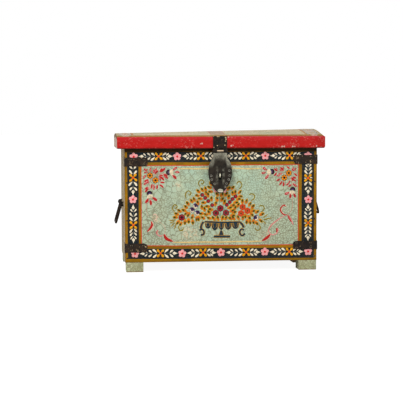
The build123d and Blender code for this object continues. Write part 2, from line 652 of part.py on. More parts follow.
def bail_staples(side):
    """The two staples that hold a bail's trunnions against one end of the chest."""
    sign = SIDES[side]
    bend = keeper_radius()
    root = sign * (HALF_BODY - KEEPER_DEPTH)
    staples = []
    for x, y, z in keeper_places(side):
        path = Line((root, y, z - bend), (x, y, z - bend))
        path += ThreePointArc((x, y, z - bend), (x + sign * bend, y, z), (x, y, z + bend))
        path += Line((x, y, z + bend), (root, y, z + bend))
        staples.append(wire_along(path, KEEPER_WIRE))
    return staples


# --- The whole chest ---------------------------------------------------------------
def hasp_limit():
    """Degrees that the hasp swings back before its tip meets the front panel."""
    room = FRONT_Y - HASP_AXIS[0] - HASP_PLATE / 2 - NAIL_HEAD
    return degrees(asin(room / HASP_LENGTH))


def bail_limit():
    """Degrees that a bail swings in from rest before its grip meets the side panel."""
    room = BAIL_PIVOT_OUT - BAIL_BAR - KEEPER_CLEAR
    return BAIL_LEAN + degrees(asin(room / max(BAIL_DROP.values())))


def chest():
    """Every node of the chest, by name."""
    nodes = {"front_panel": front_panel(), "back_panel": back_panel(),
             "floor_boards": floor_boards()}
    for side in SIDES:
        nodes[f"side_panel_{side}"] = side_panel(side)
        nodes[f"floor_bearer_{side}"] = bearer(side)
        nodes[f"foot_front_{side}"] = foot("front", side)
        nodes[f"foot_back_{side}"] = foot("back", side)
        nodes[f"lid_end_rail_{side}"] = lid_end_rail(side)
        nodes[f"hinge_leaf_body_{side}"] = hinge_leaf(side, "body")
        nodes[f"hinge_leaf_lid_{side}"] = hinge_leaf(side, "lid")
        nodes[f"hinge_pin_{side}"] = hinge_pin(side)
        nodes[f"handle_bail_{side}"] = bail(side)
        nodes[f"handle_staples_{side}"] = bail_staples(side)
    for name in CORNER_Z:
        nodes[f"corner_strap_{name}"] = corner_strap(name)
    for name in LID_BOARDS:
        nodes[f"lid_board_{name}"] = lid_board(name)
    nodes["lid_front_rail"] = lid_front_rail()
    nodes["lid_back_rail"] = lid_back_rail()
    nodes["lid_battens"] = lid_battens()
    nodes["hasp_lid_strap"] = hasp_lid_strap()
    nodes["hasp_plate"] = hasp_plate()
    nodes["hasp_pin"] = pin(HASP_X - STRAP_WIDTH / 2, HASP_X + STRAP_WIDTH / 2, *HASP_AXIS,
                            HASP_PIN)
    nodes["hasp_staple"] = hasp_staple()
    nodes["corner_strap_nails"] = [nail(*seat) for seat in CORNER_NAILS]
    nodes["hasp_strap_nails"] = [nail(*seat) for seat in strap_nail_seats()]
    for leaf in ("body", "lid"):
        nodes[f"hinge_nails_{leaf}"] = [nail(*seat) for seat in hinge_nail_seats(leaf)]
    nodes["panel_nails"] = [flush_nail(*seat) for seat in panel_nail_seats()]
    nodes["floor_nails"] = [flush_nail(*seat) for seat in floor_nail_seats()]
    nodes["lid_board_nails"] = [flush_nail(*seat) for seat in board_nail_seats()]
    return nodes


def as_shape(piece):
    """One solid, or a group of separate solids as a compound."""
    if isinstance(piece, list):
        return Compound(children=[Part() + item for item in piece])
    return piece


os.makedirs("parts", exist_ok=True)
for node, piece in chest().items():
    export_step(as_shape(piece), f"parts/{node}.step")
print(f"hasp swings back {hasp_limit():.1f} degrees, bail swings in {bail_limit():.1f}")
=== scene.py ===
"""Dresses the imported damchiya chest: painted panels, folk flowers, a worn red lid and iron.

The frame gives every piece of the chest in metres, with -Y its front and +Z up. Places
and sizes written here are millimetres on the chest itself, and become metres at the end.
"""
import math
import random

import bmesh
import bpy
from mathutils import Matrix, Vector


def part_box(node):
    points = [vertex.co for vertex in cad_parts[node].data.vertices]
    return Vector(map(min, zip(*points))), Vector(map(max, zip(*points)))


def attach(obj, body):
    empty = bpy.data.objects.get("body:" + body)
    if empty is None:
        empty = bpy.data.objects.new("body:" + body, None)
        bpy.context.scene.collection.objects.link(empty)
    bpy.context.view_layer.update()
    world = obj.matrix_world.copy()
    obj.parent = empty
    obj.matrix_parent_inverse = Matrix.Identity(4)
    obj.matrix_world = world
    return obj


bl_info = {
    "name": "Damchiya Chest Finishes",
    "version": (1, 0, 0),
    "blender": (4, 5, 0),
    "location": "3D View > Sidebar > Chest",
    "description": "Paints, flowers, ironwork and stage for a painted dowry chest",
    "category": "Object",
}

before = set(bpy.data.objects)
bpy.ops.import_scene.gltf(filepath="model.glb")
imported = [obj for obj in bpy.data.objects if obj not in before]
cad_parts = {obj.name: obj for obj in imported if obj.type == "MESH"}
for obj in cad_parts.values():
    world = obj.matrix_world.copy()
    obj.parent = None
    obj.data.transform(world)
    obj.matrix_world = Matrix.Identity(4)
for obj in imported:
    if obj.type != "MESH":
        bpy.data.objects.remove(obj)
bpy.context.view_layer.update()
MM = 0.001


def edges(node):
    """Lowest and highest corner of a node of the frame, in millimetres."""
    return [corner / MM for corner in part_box(node)]


def middle_of(node):
    """The middle of a node's box, in millimetres."""
    return [(low + high) / 2 for low, high in zip(*edges(node))]


FRONT_LOW, FRONT_HIGH = edges("front_panel")
FRONT_Y = FRONT_LOW.y
HALF_BODY = FRONT_HIGH.x
PANEL_FOOT = FRONT_LOW.z
RAIL_LOW, RAIL_HIGH = edges("lid_front_rail")
LID_LOW = RAIL_LOW.z
LID_EDGE = RAIL_HIGH.z
HALF_LID = RAIL_HIGH.x
HASP_LOW, HASP_HIGH = edges("hasp_plate")
HASP_X = middle_of("hasp_plate")[0]
_, PIN_Y, PIN_Z = middle_of("hasp_pin")
STAPLE_Z = middle_of("hasp_staple")[2]


def shade(code):
    """The linear colour of a paint written as a hex code."""
    parts = [int(code[i:i + 2], 16) / 255 for i in (0, 2, 4)]
    return tuple(((part + 0.055) / 1.055) ** 2.4 for part in parts)


# --- Settings ----------------------------------------------------------------------
def colour(name, description, code):
    """A colour that the user may change."""
    return bpy.props.FloatVectorProperty(name=name, description=description, size=3,
                                         subtype="COLOR", min=0, max=1, default=shade(code))


def length(name, description, size):
    """A length that the user may change, from its size in millimetres."""
    return bpy.props.FloatProperty(name=name, description=description, min=0,
                                   unit="LENGTH", default=size * MM)


class ChestColours(bpy.types.PropertyGroup):
    """Paints of the chest."""
    field: colour("Field", "Pale green ground of the front", "ABC2AA")
    border: colour("Border", "Dark blue ground of the flower border", "0F1C22")
    olive: colour("Edging", "Olive gold of the broad edge lines", "9A6C03")
    line: colour("Inner line", "Orange red line round the field", "BE4626")
    lid_red: colour("Lid rail", "Red of the lid's front rail", "B01C19")
    lid_top: colour("Lid boards", "Faded cream green of the lid's top", "D6C6A3")
    side: colour("Sides", "Faded paint of the ends and back rail", "C2B08E")
    foot: colour("Feet", "Yellow green of the foot blocks", "A2A67F")
    pink: colour("Border flower", "Pink petals of the border flowers", "F7A8A8")
    rose: colour("Flower heart", "Red hearts of the pink flowers", "D8202C")
    cream: colour("Leaf cream", "Cream of the border's leaves", "F3E6C8")
    marigold: colour("Marigold", "Golden petals of the border flowers", "E6A012")
    orange: colour("Orange", "Orange hearts of the golden flowers", "EA5A18")
    crimson: colour("Crimson", "Crimson where the bouquet's maroon is worn", "B8202C")
    leaf: colour("Leaf green", "Dark green of the bouquet's leaves", "34420E")
    violet: colour("Violet", "Violet of the small flowers", "4E3568")
    navy: colour("Bowl", "Blue black of the flower bowl", "14303C")


class ChestSizes(bpy.types.PropertyGroup):
    """Sizes of the painted work."""
    paint_rise: length("Paint height", "How far a brush stroke stands up", 0.35)
    petal_reach: length("Border flower", "Radius of a border flower", 14.0)
    leaf_length: length("Border leaf", "Length of a border leaf", 12.9)
    bowl_leaf: length("Bouquet leaf", "Length of a leaf above the bowl", 20.0)
    crack: length("Crackle", "Usual width of a flake of crackled paint", 8.0)


# --- Materials ---------------------------------------------------------------------
def maths(operation, swapped=False):
    """A method that puts a value, and any other terms, through a maths node."""
    def result(self, *others):
        terms = (*others, self) if swapped else (self, *others)
        return self.nodes.node("ShaderNodeMath", {"operation": operation},
                               dict(enumerate(terms)))
    return result


class Value:
    """One socket of a node tree, so that shader maths reads as Python."""

    def __init__(self, nodes, socket):
        self.nodes = nodes
        self.socket = socket

    __add__ = maths("ADD")
    __radd__ = maths("ADD", swapped=True)
    __sub__ = maths("SUBTRACT")
    __rsub__ = maths("SUBTRACT", swapped=True)
    __mul__ = maths("MULTIPLY")
    least = maths("MINIMUM")
    most = maths("MAXIMUM")
    size = maths("ABSOLUTE")

    def step(self, low, high):
        """0 at low and 1 at high, with a smooth change between them."""
        values = {"Value": self, "From Min": low, "From Max": high}
        return self.nodes.node("ShaderNodeMapRange", {"interpolation_type": "SMOOTHSTEP"},
                               values)


class Nodes:
    """A node tree that is being filled."""

    def __init__(self, tree):
        self.tree = tree

    def feed(self, socket, value):
        """Links a socket to a value, or gives it a number, a colour or a hex code."""
        if isinstance(value, Value):
            self.tree.links.new(value.socket, socket)
        elif socket.type == "RGBA":
            socket.default_value = (*(shade(value) if isinstance(value, str) else value), 1)
        else:
            socket.default_value = value

    def node(self, kind, settings=None, values=None, out=0):
        """A node with its settings made first, then its sockets filled or linked."""
        made = self.tree.nodes.new(kind)
        for setting, value in (settings or {}).items():
            setattr(made, setting, value)
        for socket, value in (values or {}).items():
            self.feed(made.inputs[socket], value)
        return Value(self, made.outputs[out])

    def vector(self, operation, values, out=0):
        """Vector maths on the values of its sockets."""
        return self.node("ShaderNodeVectorMath", {"operation": operation}, values, out)

    def split(self, vector):
        """The X, Y and Z shares of a vector."""
        parts = self.node("ShaderNodeSeparateXYZ", values={0: vector})
        return [Value(self, socket) for socket in parts.socket.node.outputs]

    def seen(self):
        """1 for rays from the camera, straight or by way of a mirror or a glass."""
        camera_ray, glossy, through = (self.node("ShaderNodeLightPath", out=f"Is {kind} Ray")
                                       for kind in ("Camera", "Glossy", "Transmission"))
        return camera_ray.most(glossy).most(through)


PAINT_GLOSS = 0.07
IRON_GLOSS = 0.15
HASP_GLOSS = 0.12
PIN_GLOSS = 0.3
BRIGHT_GLOSS = 0.5
ALONG_X = (0.04, 1, 1)        # how noise is squeezed to run along a board
ALONG_Y = (1, 0.04, 1)
ALONG_Z = (1, 1, 0.04)
DIRT = "5E4A30"
BARE_WOOD = "9B7B55"
PALE_CHIP = "E6D9BE"
END_RAIL = "EED0C0"


class Finish(Nodes):
    """A material: its node tree, its shader, and the place on the chest in millimetres."""

    def __init__(self, name, gloss=PAINT_GLOSS):
        self.material = bpy.data.materials.new(name)
        self.material.use_nodes = True
        super().__init__(self.material.node_tree)
        self.tree.nodes.clear()
        self.shader = self.tree.nodes.new("ShaderNodeBsdfPrincipled")
        self.output = self.tree.nodes.new("ShaderNodeOutputMaterial")
        self.tree.links.new(self.shader.outputs[0], self.output.inputs["Surface"])
        self.surface(Specular_IOR_Level=gloss)
        self.at = self.place()
        self.x, self.y, self.z = self.split(self.at)

    def surface(self, **values):
        """Feeds the shader's sockets, each by its name."""
        for socket, value in values.items():
            self.feed(self.shader.inputs[socket.replace("_", " ")], value)

    def done(self, tone, roughness, height, depth, metal=0.0):
        """The material, once it has its colour and its relief of depth millimetres."""
        normal = self.node("ShaderNodeBump", values={"Height": height, "Distance": depth * MM})
        self.surface(Base_Color=tone, Roughness=roughness, Metallic=metal, Normal=normal)
        return self.material

    def place(self, stretch=(1, 1, 1)):
        """The point on the chest in millimetres, stretched along each axis."""
        at = self.node("ShaderNodeTexCoord", out="Object")
        return self.vector("MULTIPLY", {0: at, 1: [share / MM for share in stretch]})

    def facing(self, axis):
        """How far the surface faces along an axis, from -1 to 1."""
        return self.split(self.node("ShaderNodeTexCoord", out="Normal"))["XYZ".index(axis)]

    def noise(self, size, detail=3.0, roughness=0.55, at=None, out=0):
        """Cloudy noise around 0.5, with clouds of about size millimetres."""
        values = {"Vector": at or self.at, "Scale": 1 / size, "Detail": detail,
                  "Roughness": roughness}
        return self.node("ShaderNodeTexNoise", values=values, out=out)

    def blend(self, share, under, over):
        """The colour over laid on the colour under."""
        return self.node("ShaderNodeMix", {"data_type": "RGBA"}, {0: share, 6: under, 7: over},
                         out=2)

    def coats(self, tone, *layers):
        """A colour under coats of others, each a share and a colour, laid on in turn."""
        for share, paint in layers:
            tone = self.blend(share, tone, paint)
        return tone

    def warp(self, at, size, amount):
        """The point moved about by noise, so that lines drawn from it wander."""
        cloud = self.noise(size, 2.0, at=at, out="Color")
        centred = self.vector("ADD", {0: cloud, 1: (-0.5, -0.5, -0.5)})
        moved = self.vector("SCALE", {0: centred, "Scale": amount})
        return self.vector("ADD", {0: at, 1: moved})

    def cracks(self, size, width):
        """1 along the cracks between flakes of paint, 0 on the flakes."""
        bent = self.warp(self.at, size * 0.8, size * 0.9)
        values = {"Vector": bent, "Scale": 1 / size, "Randomness": 1.0}
        gap = self.node("ShaderNodeTexVoronoi", {"feature": "DISTANCE_TO_EDGE"}, values)
        return 1 - gap.step(0.25 * width / size, width / size)

    def crackle(self, sizes, share=1.0):
        """Old crackle: patches of fine flakes, and patches of a broader, more open net."""
        size = sizes.crack * share / MM
        patches = self.noise(70) + self.x.step(-300, 300) * 0.14 - 0.07
        fine = self.cracks(size, 1.15) * patches.step(0.38, 0.54)
        broad = self.cracks(size * 2.1, 1.5) * patches.step(0.62, 0.46)
        return fine.most(broad)

    def grain(self, along_board):
        """Wood grain, drawn out along a board."""
        return self.noise(2.2, 5.0, 0.62, self.warp(self.place(along_board), 30, 2.5))

    def specks(self, size, amount):
        """1 on scattered chips of about size millimetres; amount is from 0 to 1."""
        return self.noise(size, 3.0, 0.7).step(0.78 - 0.22 * amount, 0.81 - 0.22 * amount)

    def near(self, *places):
        """1 at some places on the front (x, z, reach), fading to 0 at reach from each."""
        share = 0
        for x, z, reach in places:
            away = self.node("ShaderNodeCombineXYZ", values={0: self.x - x, 2: self.z - z})
            far = self.vector("LENGTH", {0: away}, "Value")
            share = far.step(reach, reach * 0.2).most(share)
        return share


def wood_colour(f, along_board):
    """The colour and height of aged, unpainted wood."""
    grain = f.grain(along_board)
    tone = f.coats("5F462E", (grain.step(0.3, 0.7), "9A7852"),
                   (f.noise(90).step(0.4, 0.7) * 0.5, "7A6650"),
                   (f.specks(9, 0.3) * 0.6, "3A2B1E"))
    return tone, grain


def aged_wood(name, along_board=ALONG_X):
    """Old softwood, oiled and dirty."""
    f = Finish(name)
    tone, grain = wood_colour(f, along_board)
    return f.done(tone, grain * 0.25 + 0.6, grain, 0.8)


# Widths of the painted bands from each edge of the front inwards: the outer olive edge,
# the dark border, the inner olive edge and the red line. They are drawn by hand, so each
# side has its own.
BANDS = {
    "left": (8.5, 37.5, 6.6, 3.4),
    "right": (9.8, 42.2, 9.7, 3.2),
    "top": (11.5, 34.0, 9.0, 3.2),
    "bottom": (9.8, 34.8, 8.0, 3.3),
}
BOTTOM_TILT = 0.005           # rise of the bottom bands for each millimetre across


def band_masks(f):
    """For each painted band, 1 inside its outer line and 0 outside it."""
    wander = (f.noise(110, 1.0) - 0.5) * 3.2 + (f.noise(9, 2.0) - 0.5) * 1.3
    inward = {"left": f.x + HALF_BODY, "right": HALF_BODY - f.x, "top": LID_LOW - f.z,
              "bottom": f.z - PANEL_FOOT + f.x * BOTTOM_TILT}
    masks = []
    for band in range(4):
        mask = 1
        for side, depth in inward.items():
            line = sum(BANDS[side][:band + 1])
            mask = (depth + wander).step(line - 0.5, line + 0.5).least(mask)
        masks.append(mask)
    return masks


# Patches where the field's paint is rubbed down to its pale pink ground: x, z, reach.
RUBBED = ((-107, 129, 44), (-149, 287, 24), (-222, 180, 22), (150, 118, 30))
# Painted shade on the front behind the hasp plate, round its staple: x, z, reach.
HASP_SHADE = (HASP_X, STAPLE_Z - 4, 30)


def front_paint(colours, sizes):
    """The front: bands, dark border and crackled green field, over bare wood inside; painted
    shade under the lid and behind the hasp.
    """
    f = Finish("front_paint")
    cloud = f.noise(55, 4.0)
    brushed = f.noise(3.0, at=f.place(ALONG_X))
    low = (f.z + cloud * 8).step(PANEL_FOOT + 16, PANEL_FOOT + 5)
    olive = f.coats(colours.olive, (cloud.step(0.35, 0.65), "7E5904"),
                    (brushed.step(0.5, 0.75) * 0.4, "B47C0C"), (low * 0.45, "5E4804"))
    dark = f.coats(colours.border, (cloud.step(0.4, 0.7) * 0.6, "0F2630"),
                   (f.specks(5, 0.6) * 0.4, "45565A"))
    aged = f.x.size().step(60, 260) * 0.75 + f.z.step(250, 80) * 0.5
    rubbed = f.near(*RUBBED) * f.noise(7, 4.0, 0.7).step(0.44, 0.62)
    field = f.coats(colours.field, (cloud.step(0.35, 0.7), "B3C1A2"),
                    (f.noise(18).step(0.45, 0.75) * 0.5, "9AB5A0"),
                    (aged.least(0.72) * (cloud * 0.5 + 0.75), "AAB498"),
                    (rubbed * 0.75, "DCC09C"), (rubbed * f.specks(3.2, 0.8), "8A4A38"))
    masks = band_masks(f)
    tone = f.coats(olive, *zip(masks, (dark, olive, colours.line, field)))
    in_field = masks[-1]

    cracks = f.crackle(sizes)
    crack_depth = in_field * (aged.least(1.0) * 0.16 + 0.24) + 0.22
    chips = f.specks(6, 0.25) * f.noise(60).step(0.5, 0.62)
    rim = (HALF_BODY - f.x.size()).least(f.z - PANEL_FOOT)
    worn = (rim + f.noise(14, 4.0) * 5).step(5.2, 2.4)
    # Painted shadow: the top of the front is darkened to near black where the lid's overhang
    # shades it.
    painted_lid_shadow = (LID_LOW - f.z + f.noise(20) * 4).step(16, 11)
    behind = (f.y - FRONT_Y).step(1.2, 2.0)
    bare, grain = wood_colour(f, ALONG_X)
    # Over the field go cracks, chips and worn edges, then the painted shadow under the lid and
    # the painted shade behind the hasp, then bare wood on the inner faces.
    tone = f.coats(tone, (cracks * crack_depth, "5E4628"),
                   (chips * (1 - in_field * 0.6) * 0.8, PALE_CHIP), (worn * 0.8, "6B4A26"),
                   (painted_lid_shadow * 0.94, "150C04"), (f.near(HASP_SHADE) * 0.96, "140D08"),
                   (behind, bare))
    relief = grain * 0.3 - cracks * 0.6 - chips * 0.4 + brushed * 0.15
    return f.done(tone, cloud * 0.25 + 0.42, relief, 0.5)


def faded_paint(name, paint, along_board, sizes, bare, bare_inside=False):
    """Thin old paint, crackled and rubbed through to the wood along the grain."""
    f = Finish(name)
    grain = f.grain(along_board)
    cloud = f.noise(60, 4.0)
    dull = [share * part for share, part in zip((0.6, 0.62, 0.58), paint)]
    through = (grain + cloud * 0.5).step(0.98 - 0.2 * bare, 1.02 - 0.14 * bare)
    cracks = f.crackle(sizes)
    tone = f.coats(paint, (cloud.step(0.35, 0.7) * 0.7, dull),
                   (f.noise(24).step(0.5, 0.75) * 0.4, "93805F"), (through * 0.75, BARE_WOOD),
                   (cracks * 0.42, DIRT), (f.specks(7, 0.3) * 0.7, "6A4E30"))
    if bare_inside:
        looks_in = (f.facing("X") * (f.x * 0.01)).step(0.3, -0.3)
        tone = f.blend(looks_in, tone, wood_colour(f, along_board)[0])
    return f.done(tone, cloud * 0.25 + 0.5, grain * 0.5 - cracks * 0.5 - through * 0.3, 0.6)


# Chips out of the red rail's face: x, z, reach.
RAIL_CHIPS = ((-67, 431, 5), (-72, 430, 3), (31, 423, 5), (37, 425, 3), (22, 452, 3),
              (203, 420, 5), (210, 420, 5), (239, 420, 5), (246, 420, 4), (320, 421, 4))


def lid_red_paint(colours):
    """The lid's front rail: streaky red, flecked and chipped, with a painted highlight along
    its top and painted shade along its foot.
    """
    f = Finish("red_paint")
    grain = f.grain(ALONG_X)
    cloud = f.noise(40, 4.0)
    streaks = f.noise(9, 4.0, 0.6, f.place((0.3, 1, 1)))
    # Lighter, pinker top of the rail: dust, and a painted highlight where its rounded top edge
    # catches the light.
    dust_and_highlight = (f.z + f.noise(25) * 16).step(LID_EDGE - 8, LID_EDGE + 9)
    end = f.x.step(HALF_LID - 50, HALF_LID - 4)
    # Painted shade: the rail's rounded lower edge is darkened to deep red brown.
    foot = (f.z + f.noise(30) * 4).step(LID_LOW + 7.5, LID_LOW + 3.2)
    flecks = f.noise(3.6, 3.0, 0.6, f.place((0.7, 1, 1))) + f.x.step(-60, 330) * 0.03
    dots = flecks.step(0.585, 0.66) * f.noise(40).step(0.38, 0.56)
    chips = (f.near(*RAIL_CHIPS) * 0.8 + f.noise(4, 4.0, 0.7) * 0.7).step(0.76, 0.86)
    behind = (f.y - RAIL_LOW.y).step(13.5, 14.6)
    tone = f.coats(colours.lid_red, (cloud.step(0.35, 0.7) * 0.6, "AA1715"),
                   (streaks.step(0.5, 0.72) * 0.55, "98160F"),
                   (streaks.step(0.5, 0.3) * 0.35, "CC2E2A"), (dust_and_highlight * 0.5, "BE2E36"),
                   (end * 0.35, "84201C"), (foot * 0.85, "4A100C"), (dots * 0.42, "D88E80"),
                   (chips * 0.7, "D2B4A4"), (behind, wood_colour(f, ALONG_X)[0]))
    relief = grain * 0.35 - chips * 0.6 - dots * 0.2
    return f.done(tone, cloud * 0.25 + chips * 0.3 + 0.36, relief, 0.6)


# The lines between the bands on the lid's top: those at its ends by their distance from
# the end, those of the cross-band by their distance from the hasp's middle line, and those
# along its front edge by their height above the red rail.
END_LINES = (10.0, 50.0, 54.0, 58.0)
MIDDLE_LINES = (22.5, 25.5)
FRONT_LINES = (0.3, 3.9, 4.8)
LINE_BLUR = 0.6
FRONT_LINE_BLUR = 0.3


def lid_top_paint(colours, sizes):
    """The lid's boards: two pale panels between a middle band and a dark band at each end."""
    f = Finish("lid_paint")
    cloud = f.noise(60, 4.0)
    wander = (f.noise(80, 2.0) - 0.5) * 5 + (f.noise(8, 2.0) - 0.5) * 2
    grain = f.grain(ALONG_X)
    tone = f.coats(colours.lid_top, (cloud.step(0.4, 0.75), "BFC4A2"),
                   (f.noise(22).step(0.5, 0.75) * 0.6, "D6BA98"))
    dusty_blue = f.blend(cloud.step(0.38, 0.6), "ABA49A", "CDBEAC")
    from_end = HALF_LID - f.x.size() + wander
    from_middle = (f.x - HASP_X).size() + wander
    rise = f.z - LID_EDGE + wander * 0.12 - f.x.step(-60, 60) * 1.4
    bands = ((from_end, END_LINES, LINE_BLUR, ("BEAA84", dusty_blue, "B48C58", "CC9468")),
             (from_middle, MIDDLE_LINES, LINE_BLUR, ("B89E88", "C48A74")),
             (rise, FRONT_LINES, FRONT_LINE_BLUR, (colours.lid_red, colours.olive, "B7A67E")))
    for depth, lines, blur, paints in bands:
        for line, paint in zip(lines[::-1], paints[::-1]):
            tone = f.blend(depth.step(line + blur, line - blur), tone, paint)
    through = (grain + cloud * 0.4).step(0.82, 0.9)
    cracks = f.crackle(sizes)
    under = f.facing("Z").step(0.5, 0.2)
    tone = f.coats(tone, (through * 0.55, "A98C66"), (cracks * 0.4, DIRT),
                   (under, wood_colour(f, ALONG_X)[0]))
    return f.done(tone, cloud * 0.2 + 0.5, grain * 0.5 - cracks * 0.5, 0.6)


def foot_paint(colours, sizes):
    """The feet: crackled yellow green, bare and dark along the floor."""
    f = Finish("foot_paint")
    cloud = f.noise(26, 4.0)
    cracks = f.crackle(sizes, 0.8)
    floor_edge = (f.z + f.noise(12, 4.0) * 7).step(7.5, 4.5)
    tone = f.coats(colours.foot, (cloud.step(0.35, 0.7), "B9BC98"),
                   (f.noise(9, 4.0).step(0.52, 0.7) * 0.5, "8E8A62"), (cracks * 0.5, DIRT),
                   (floor_edge * 0.9, "7A5532"))
    relief = f.grain(ALONG_X) * 0.4 - cracks * 0.6 - floor_edge * 0.4
    return f.done(tone, cloud * 0.2 + 0.55, relief, 0.6)


def forged_iron(name, base, wear, metal, painted_return=False, bare=(), rust="32251A"):
    """Hand-forged iron: nearly black, with rust brown clouds and rubbed tan chips."""
    f = Finish(name, IRON_GLOSS)
    cloud = f.noise(22, 4.0, 0.6)
    hammer = f.noise(6.5, 2.0)
    rough = f.noise(6.5, 4.0, 0.68)
    chips = rough.step(0.7 - 0.1 * wear, 0.73 - 0.1 * wear)
    chips = chips.most((f.near(*bare) * 0.5 + rough).step(0.84, 0.92))
    tone = f.coats(base, (cloud.step(0.38, 0.68), rust),
                   (f.noise(5, 4.0, 0.7).step(0.52, 0.7) * 0.25, "5C4834"),
                   (chips * 0.9, "C2A67C"))
    metallic = (1 - chips) * metal
    if painted_return:
        round_corner = f.facing("X").size().step(0.4, 0.8)
        kept = round_corner * f.noise(12, 4.0).step(0.66, 0.6)
        tone = f.blend(kept * 0.9, tone, f.blend(cloud.step(0.4, 0.7), "A99A7C", "8E7B60"))
        metallic = metallic * (1 - kept)
    relief = hammer * 0.7 + cloud * 0.3 - chips * 0.3
    return f.done(tone, cloud * 0.3 + 0.45, relief, 0.7, metallic)


# Bare chips on the hasp's strap over the rail: x, z, reach.
STRAP_CHIPS = ((12, 451, 5), (13, 445, 5), (11, 439, 4), (9, 425, 5), (-16, 424, 4),
               (-27, 418, 4), (-16, 454, 4), (-11, 454, 4), (-28, 455, 3), (10, 458, 4))


def hasp_iron():
    """The hasp: black on its belly, rubbed grey on its neck, rim, ribs and finger lip; painted
    shade and a painted highlight on its knuckle.
    """
    f = Finish("hasp_iron", HASP_GLOSS)
    cloud = f.noise(20, 4.0, 0.6)
    hammer = f.noise(7, 2.5)
    fine = f.noise(2.2, 4.0, 0.65, f.place((1, 1, 0.25)))
    rough = f.noise(9, 4.0, 0.65)
    top = HASP_HIGH.z
    off = f.x - HASP_X
    neck = (f.z + (cloud - 0.5) * 30).step(top - 42, top - 14)
    rim = ((top - f.z) * 0.24 + 14 - off.size() + (rough - 0.5) * 12).step(7, 1)
    rim = rim * f.z.step(top - 66, top - 46) * (off.step(-30, 10) * 0.3 + 0.5)
    ribs = (off.size() - 11).size().step(6, 1) * (f.z - STAPLE_Z + 1).size().step(36, 16)
    rubbed = (neck * 0.72).most(rim).most(ribs * rough.step(0.38, 0.62) * 0.4)
    rubbed = rubbed * (fine * 1.5 + 0.1) * (rough.step(0.3, 0.55) * 0.5 + 0.5)
    # Painted shade over the knuckle round the pin, and a painted highlight: a pale line along
    # the pin with a soft halo round it.
    shaded_knuckle = f.z.step(PIN_Z - 6.6, PIN_Z - 5.8)
    from_pin = (f.z - PIN_Z - 0.3).size()
    line = from_pin.step(1.9, 0.8) * (off - 0.5).size().step(13, 9)
    lip_x, lip_z = off * 0.1, (f.z - HASP_LOW.z - 8) * 0.17
    lip = (lip_x * lip_x + lip_z * lip_z + (rough - 0.5) * 1.2).step(1.1, 0.7)
    lip = lip * (PIN_Y - f.y).step(0.8, 1.4) * fine.step(0.2, 0.5)
    tone = f.coats("1A1612", (cloud.step(0.36, 0.66), "2C261F"),
                   (fine.step(0.55, 0.75) * 0.35, "4E4A40"), (rubbed, "A5A28F"),
                   (f.noise(3.4, 3.0, 0.7).step(0.5, 0.62) * 0.55, "2A241C"),
                   (shaded_knuckle * 0.9, "211A14"), (from_pin.step(2.4, 1.2) * 0.5, "7A6450"),
                   (line, "DCC2A0"), (lip, "BCBAA6"))
    relief = hammer * 0.8 + fine * 0.25
    return f.done(tone, cloud * 0.25 + fine * 0.1 + 0.44, relief, 0.8, metal=0.2)


def pin_iron():
    """The hasp's pin: a painted highlight along its middle, rusty brown round it."""
    f = Finish("pin_iron", PIN_GLOSS)
    cloud = f.noise(6, 4.0, 0.6)
    # Painted highlight: a pale line along the pin's middle.
    line = (f.z - PIN_Z + (cloud - 0.5) * 1.5).size().step(2.6, 1.4)
    line = line * (f.x - HASP_X).size().step(15, 11)
    tone = f.coats("1E1712", (cloud.step(0.4, 0.62), "3A2A1E"), (line, "E0C8A6"))
    return f.done(tone, cloud * 0.3 + 0.3, cloud, 0.3, metal=0.3)


def bright_iron(name, base, worn, metal):
    """Iron that hands and the hasp have rubbed bright; on the staple, also a painted
    highlight.
    """
    f = Finish(name, BRIGHT_GLOSS)
    cloud = f.noise(6, 4.0, 0.6)
    tone = f.blend(cloud.step(0.45, 0.62), base, worn)
    return f.done(tone, cloud * 0.3 + 0.22, cloud, 0.3, metal)


def brush_paint(name, paint, ground, sizes):
    """Thick brushed paint, cracked with its ground and worn through in spots."""
    f = Finish(name)
    cloud = f.noise(7)
    deep = [part * 0.72 for part in paint]
    worn = f.noise(4.5, 4.0, 0.7).step(0.704, 0.744)
    cracks = f.crackle(sizes)
    tone = f.coats(paint, (cloud.step(0.4, 0.72) * 0.55, deep),
                   (f.noise(34).step(0.5, 0.7) * 0.03, PALE_CHIP), (worn * 0.7, ground),
                   (cracks * 0.25, DIRT))
    relief = cloud * 0.3 - worn * 0.5 - cracks * 0.4
    return f.done(tone, cloud * 0.2 + 0.42, relief, 0.35)


# --- Brushwork ---------------------------------------------------------------------
SUNK = 0.12                   # how far the underside of a stroke lies in the board
SHOULDER = 0.85               # height of a stroke's rounded edge, as a share of its ridge's
STROKE_FLAT = 0.93            # where that edge starts, as a share of the half width
DAB_FLAT = 0.95
GROUND_RISE = 0.55            # height of a ridge in layer 0, as a share of the paint's rise
LAYER_RISE = 0.45             # and what each layer adds to it


def on_front(u, v, rise):
    """A point on the chest's front, u across and v up, standing rise proud of it."""
    return Vector((u, FRONT_Y - rise, v)) * MM


def curve(points, steps=6):
    """A smooth line through a few points."""
    line = []
    for i in range(len(points) - 1):
        knots = [points[max(i - 1, 0)], points[i], points[i + 1],
                 points[min(i + 2, len(points) - 1)]]
        for step in range(steps):
            t = step / steps
            weights = ((-t + 2 * t ** 2 - t ** 3) / 2, (2 - 5 * t ** 2 + 3 * t ** 3) / 2,
                       (t + 4 * t ** 2 - 3 * t ** 3) / 2, (t ** 3 - t ** 2) / 2)
            line.append(tuple(sum(weight * knot[axis] for weight, knot in zip(weights, knots))
                              for axis in (0, 1)))
    line.append(tuple(points[-1]))
    return line


def along(line, share):
    """The point at a share of a line's length, going straight between its points."""
    at = share * (len(line) - 1)
    i = min(int(at), len(line) - 2)
    return tuple(a + (b - a) * (at - i) for a, b in zip(line[i], line[i + 1]))


def step_from(point, angle, reach):
    """The point reach away from another, at an angle in degrees."""
    turn = math.radians(angle)
    return (point[0] + reach * math.cos(turn), point[1] + reach * math.sin(turn))


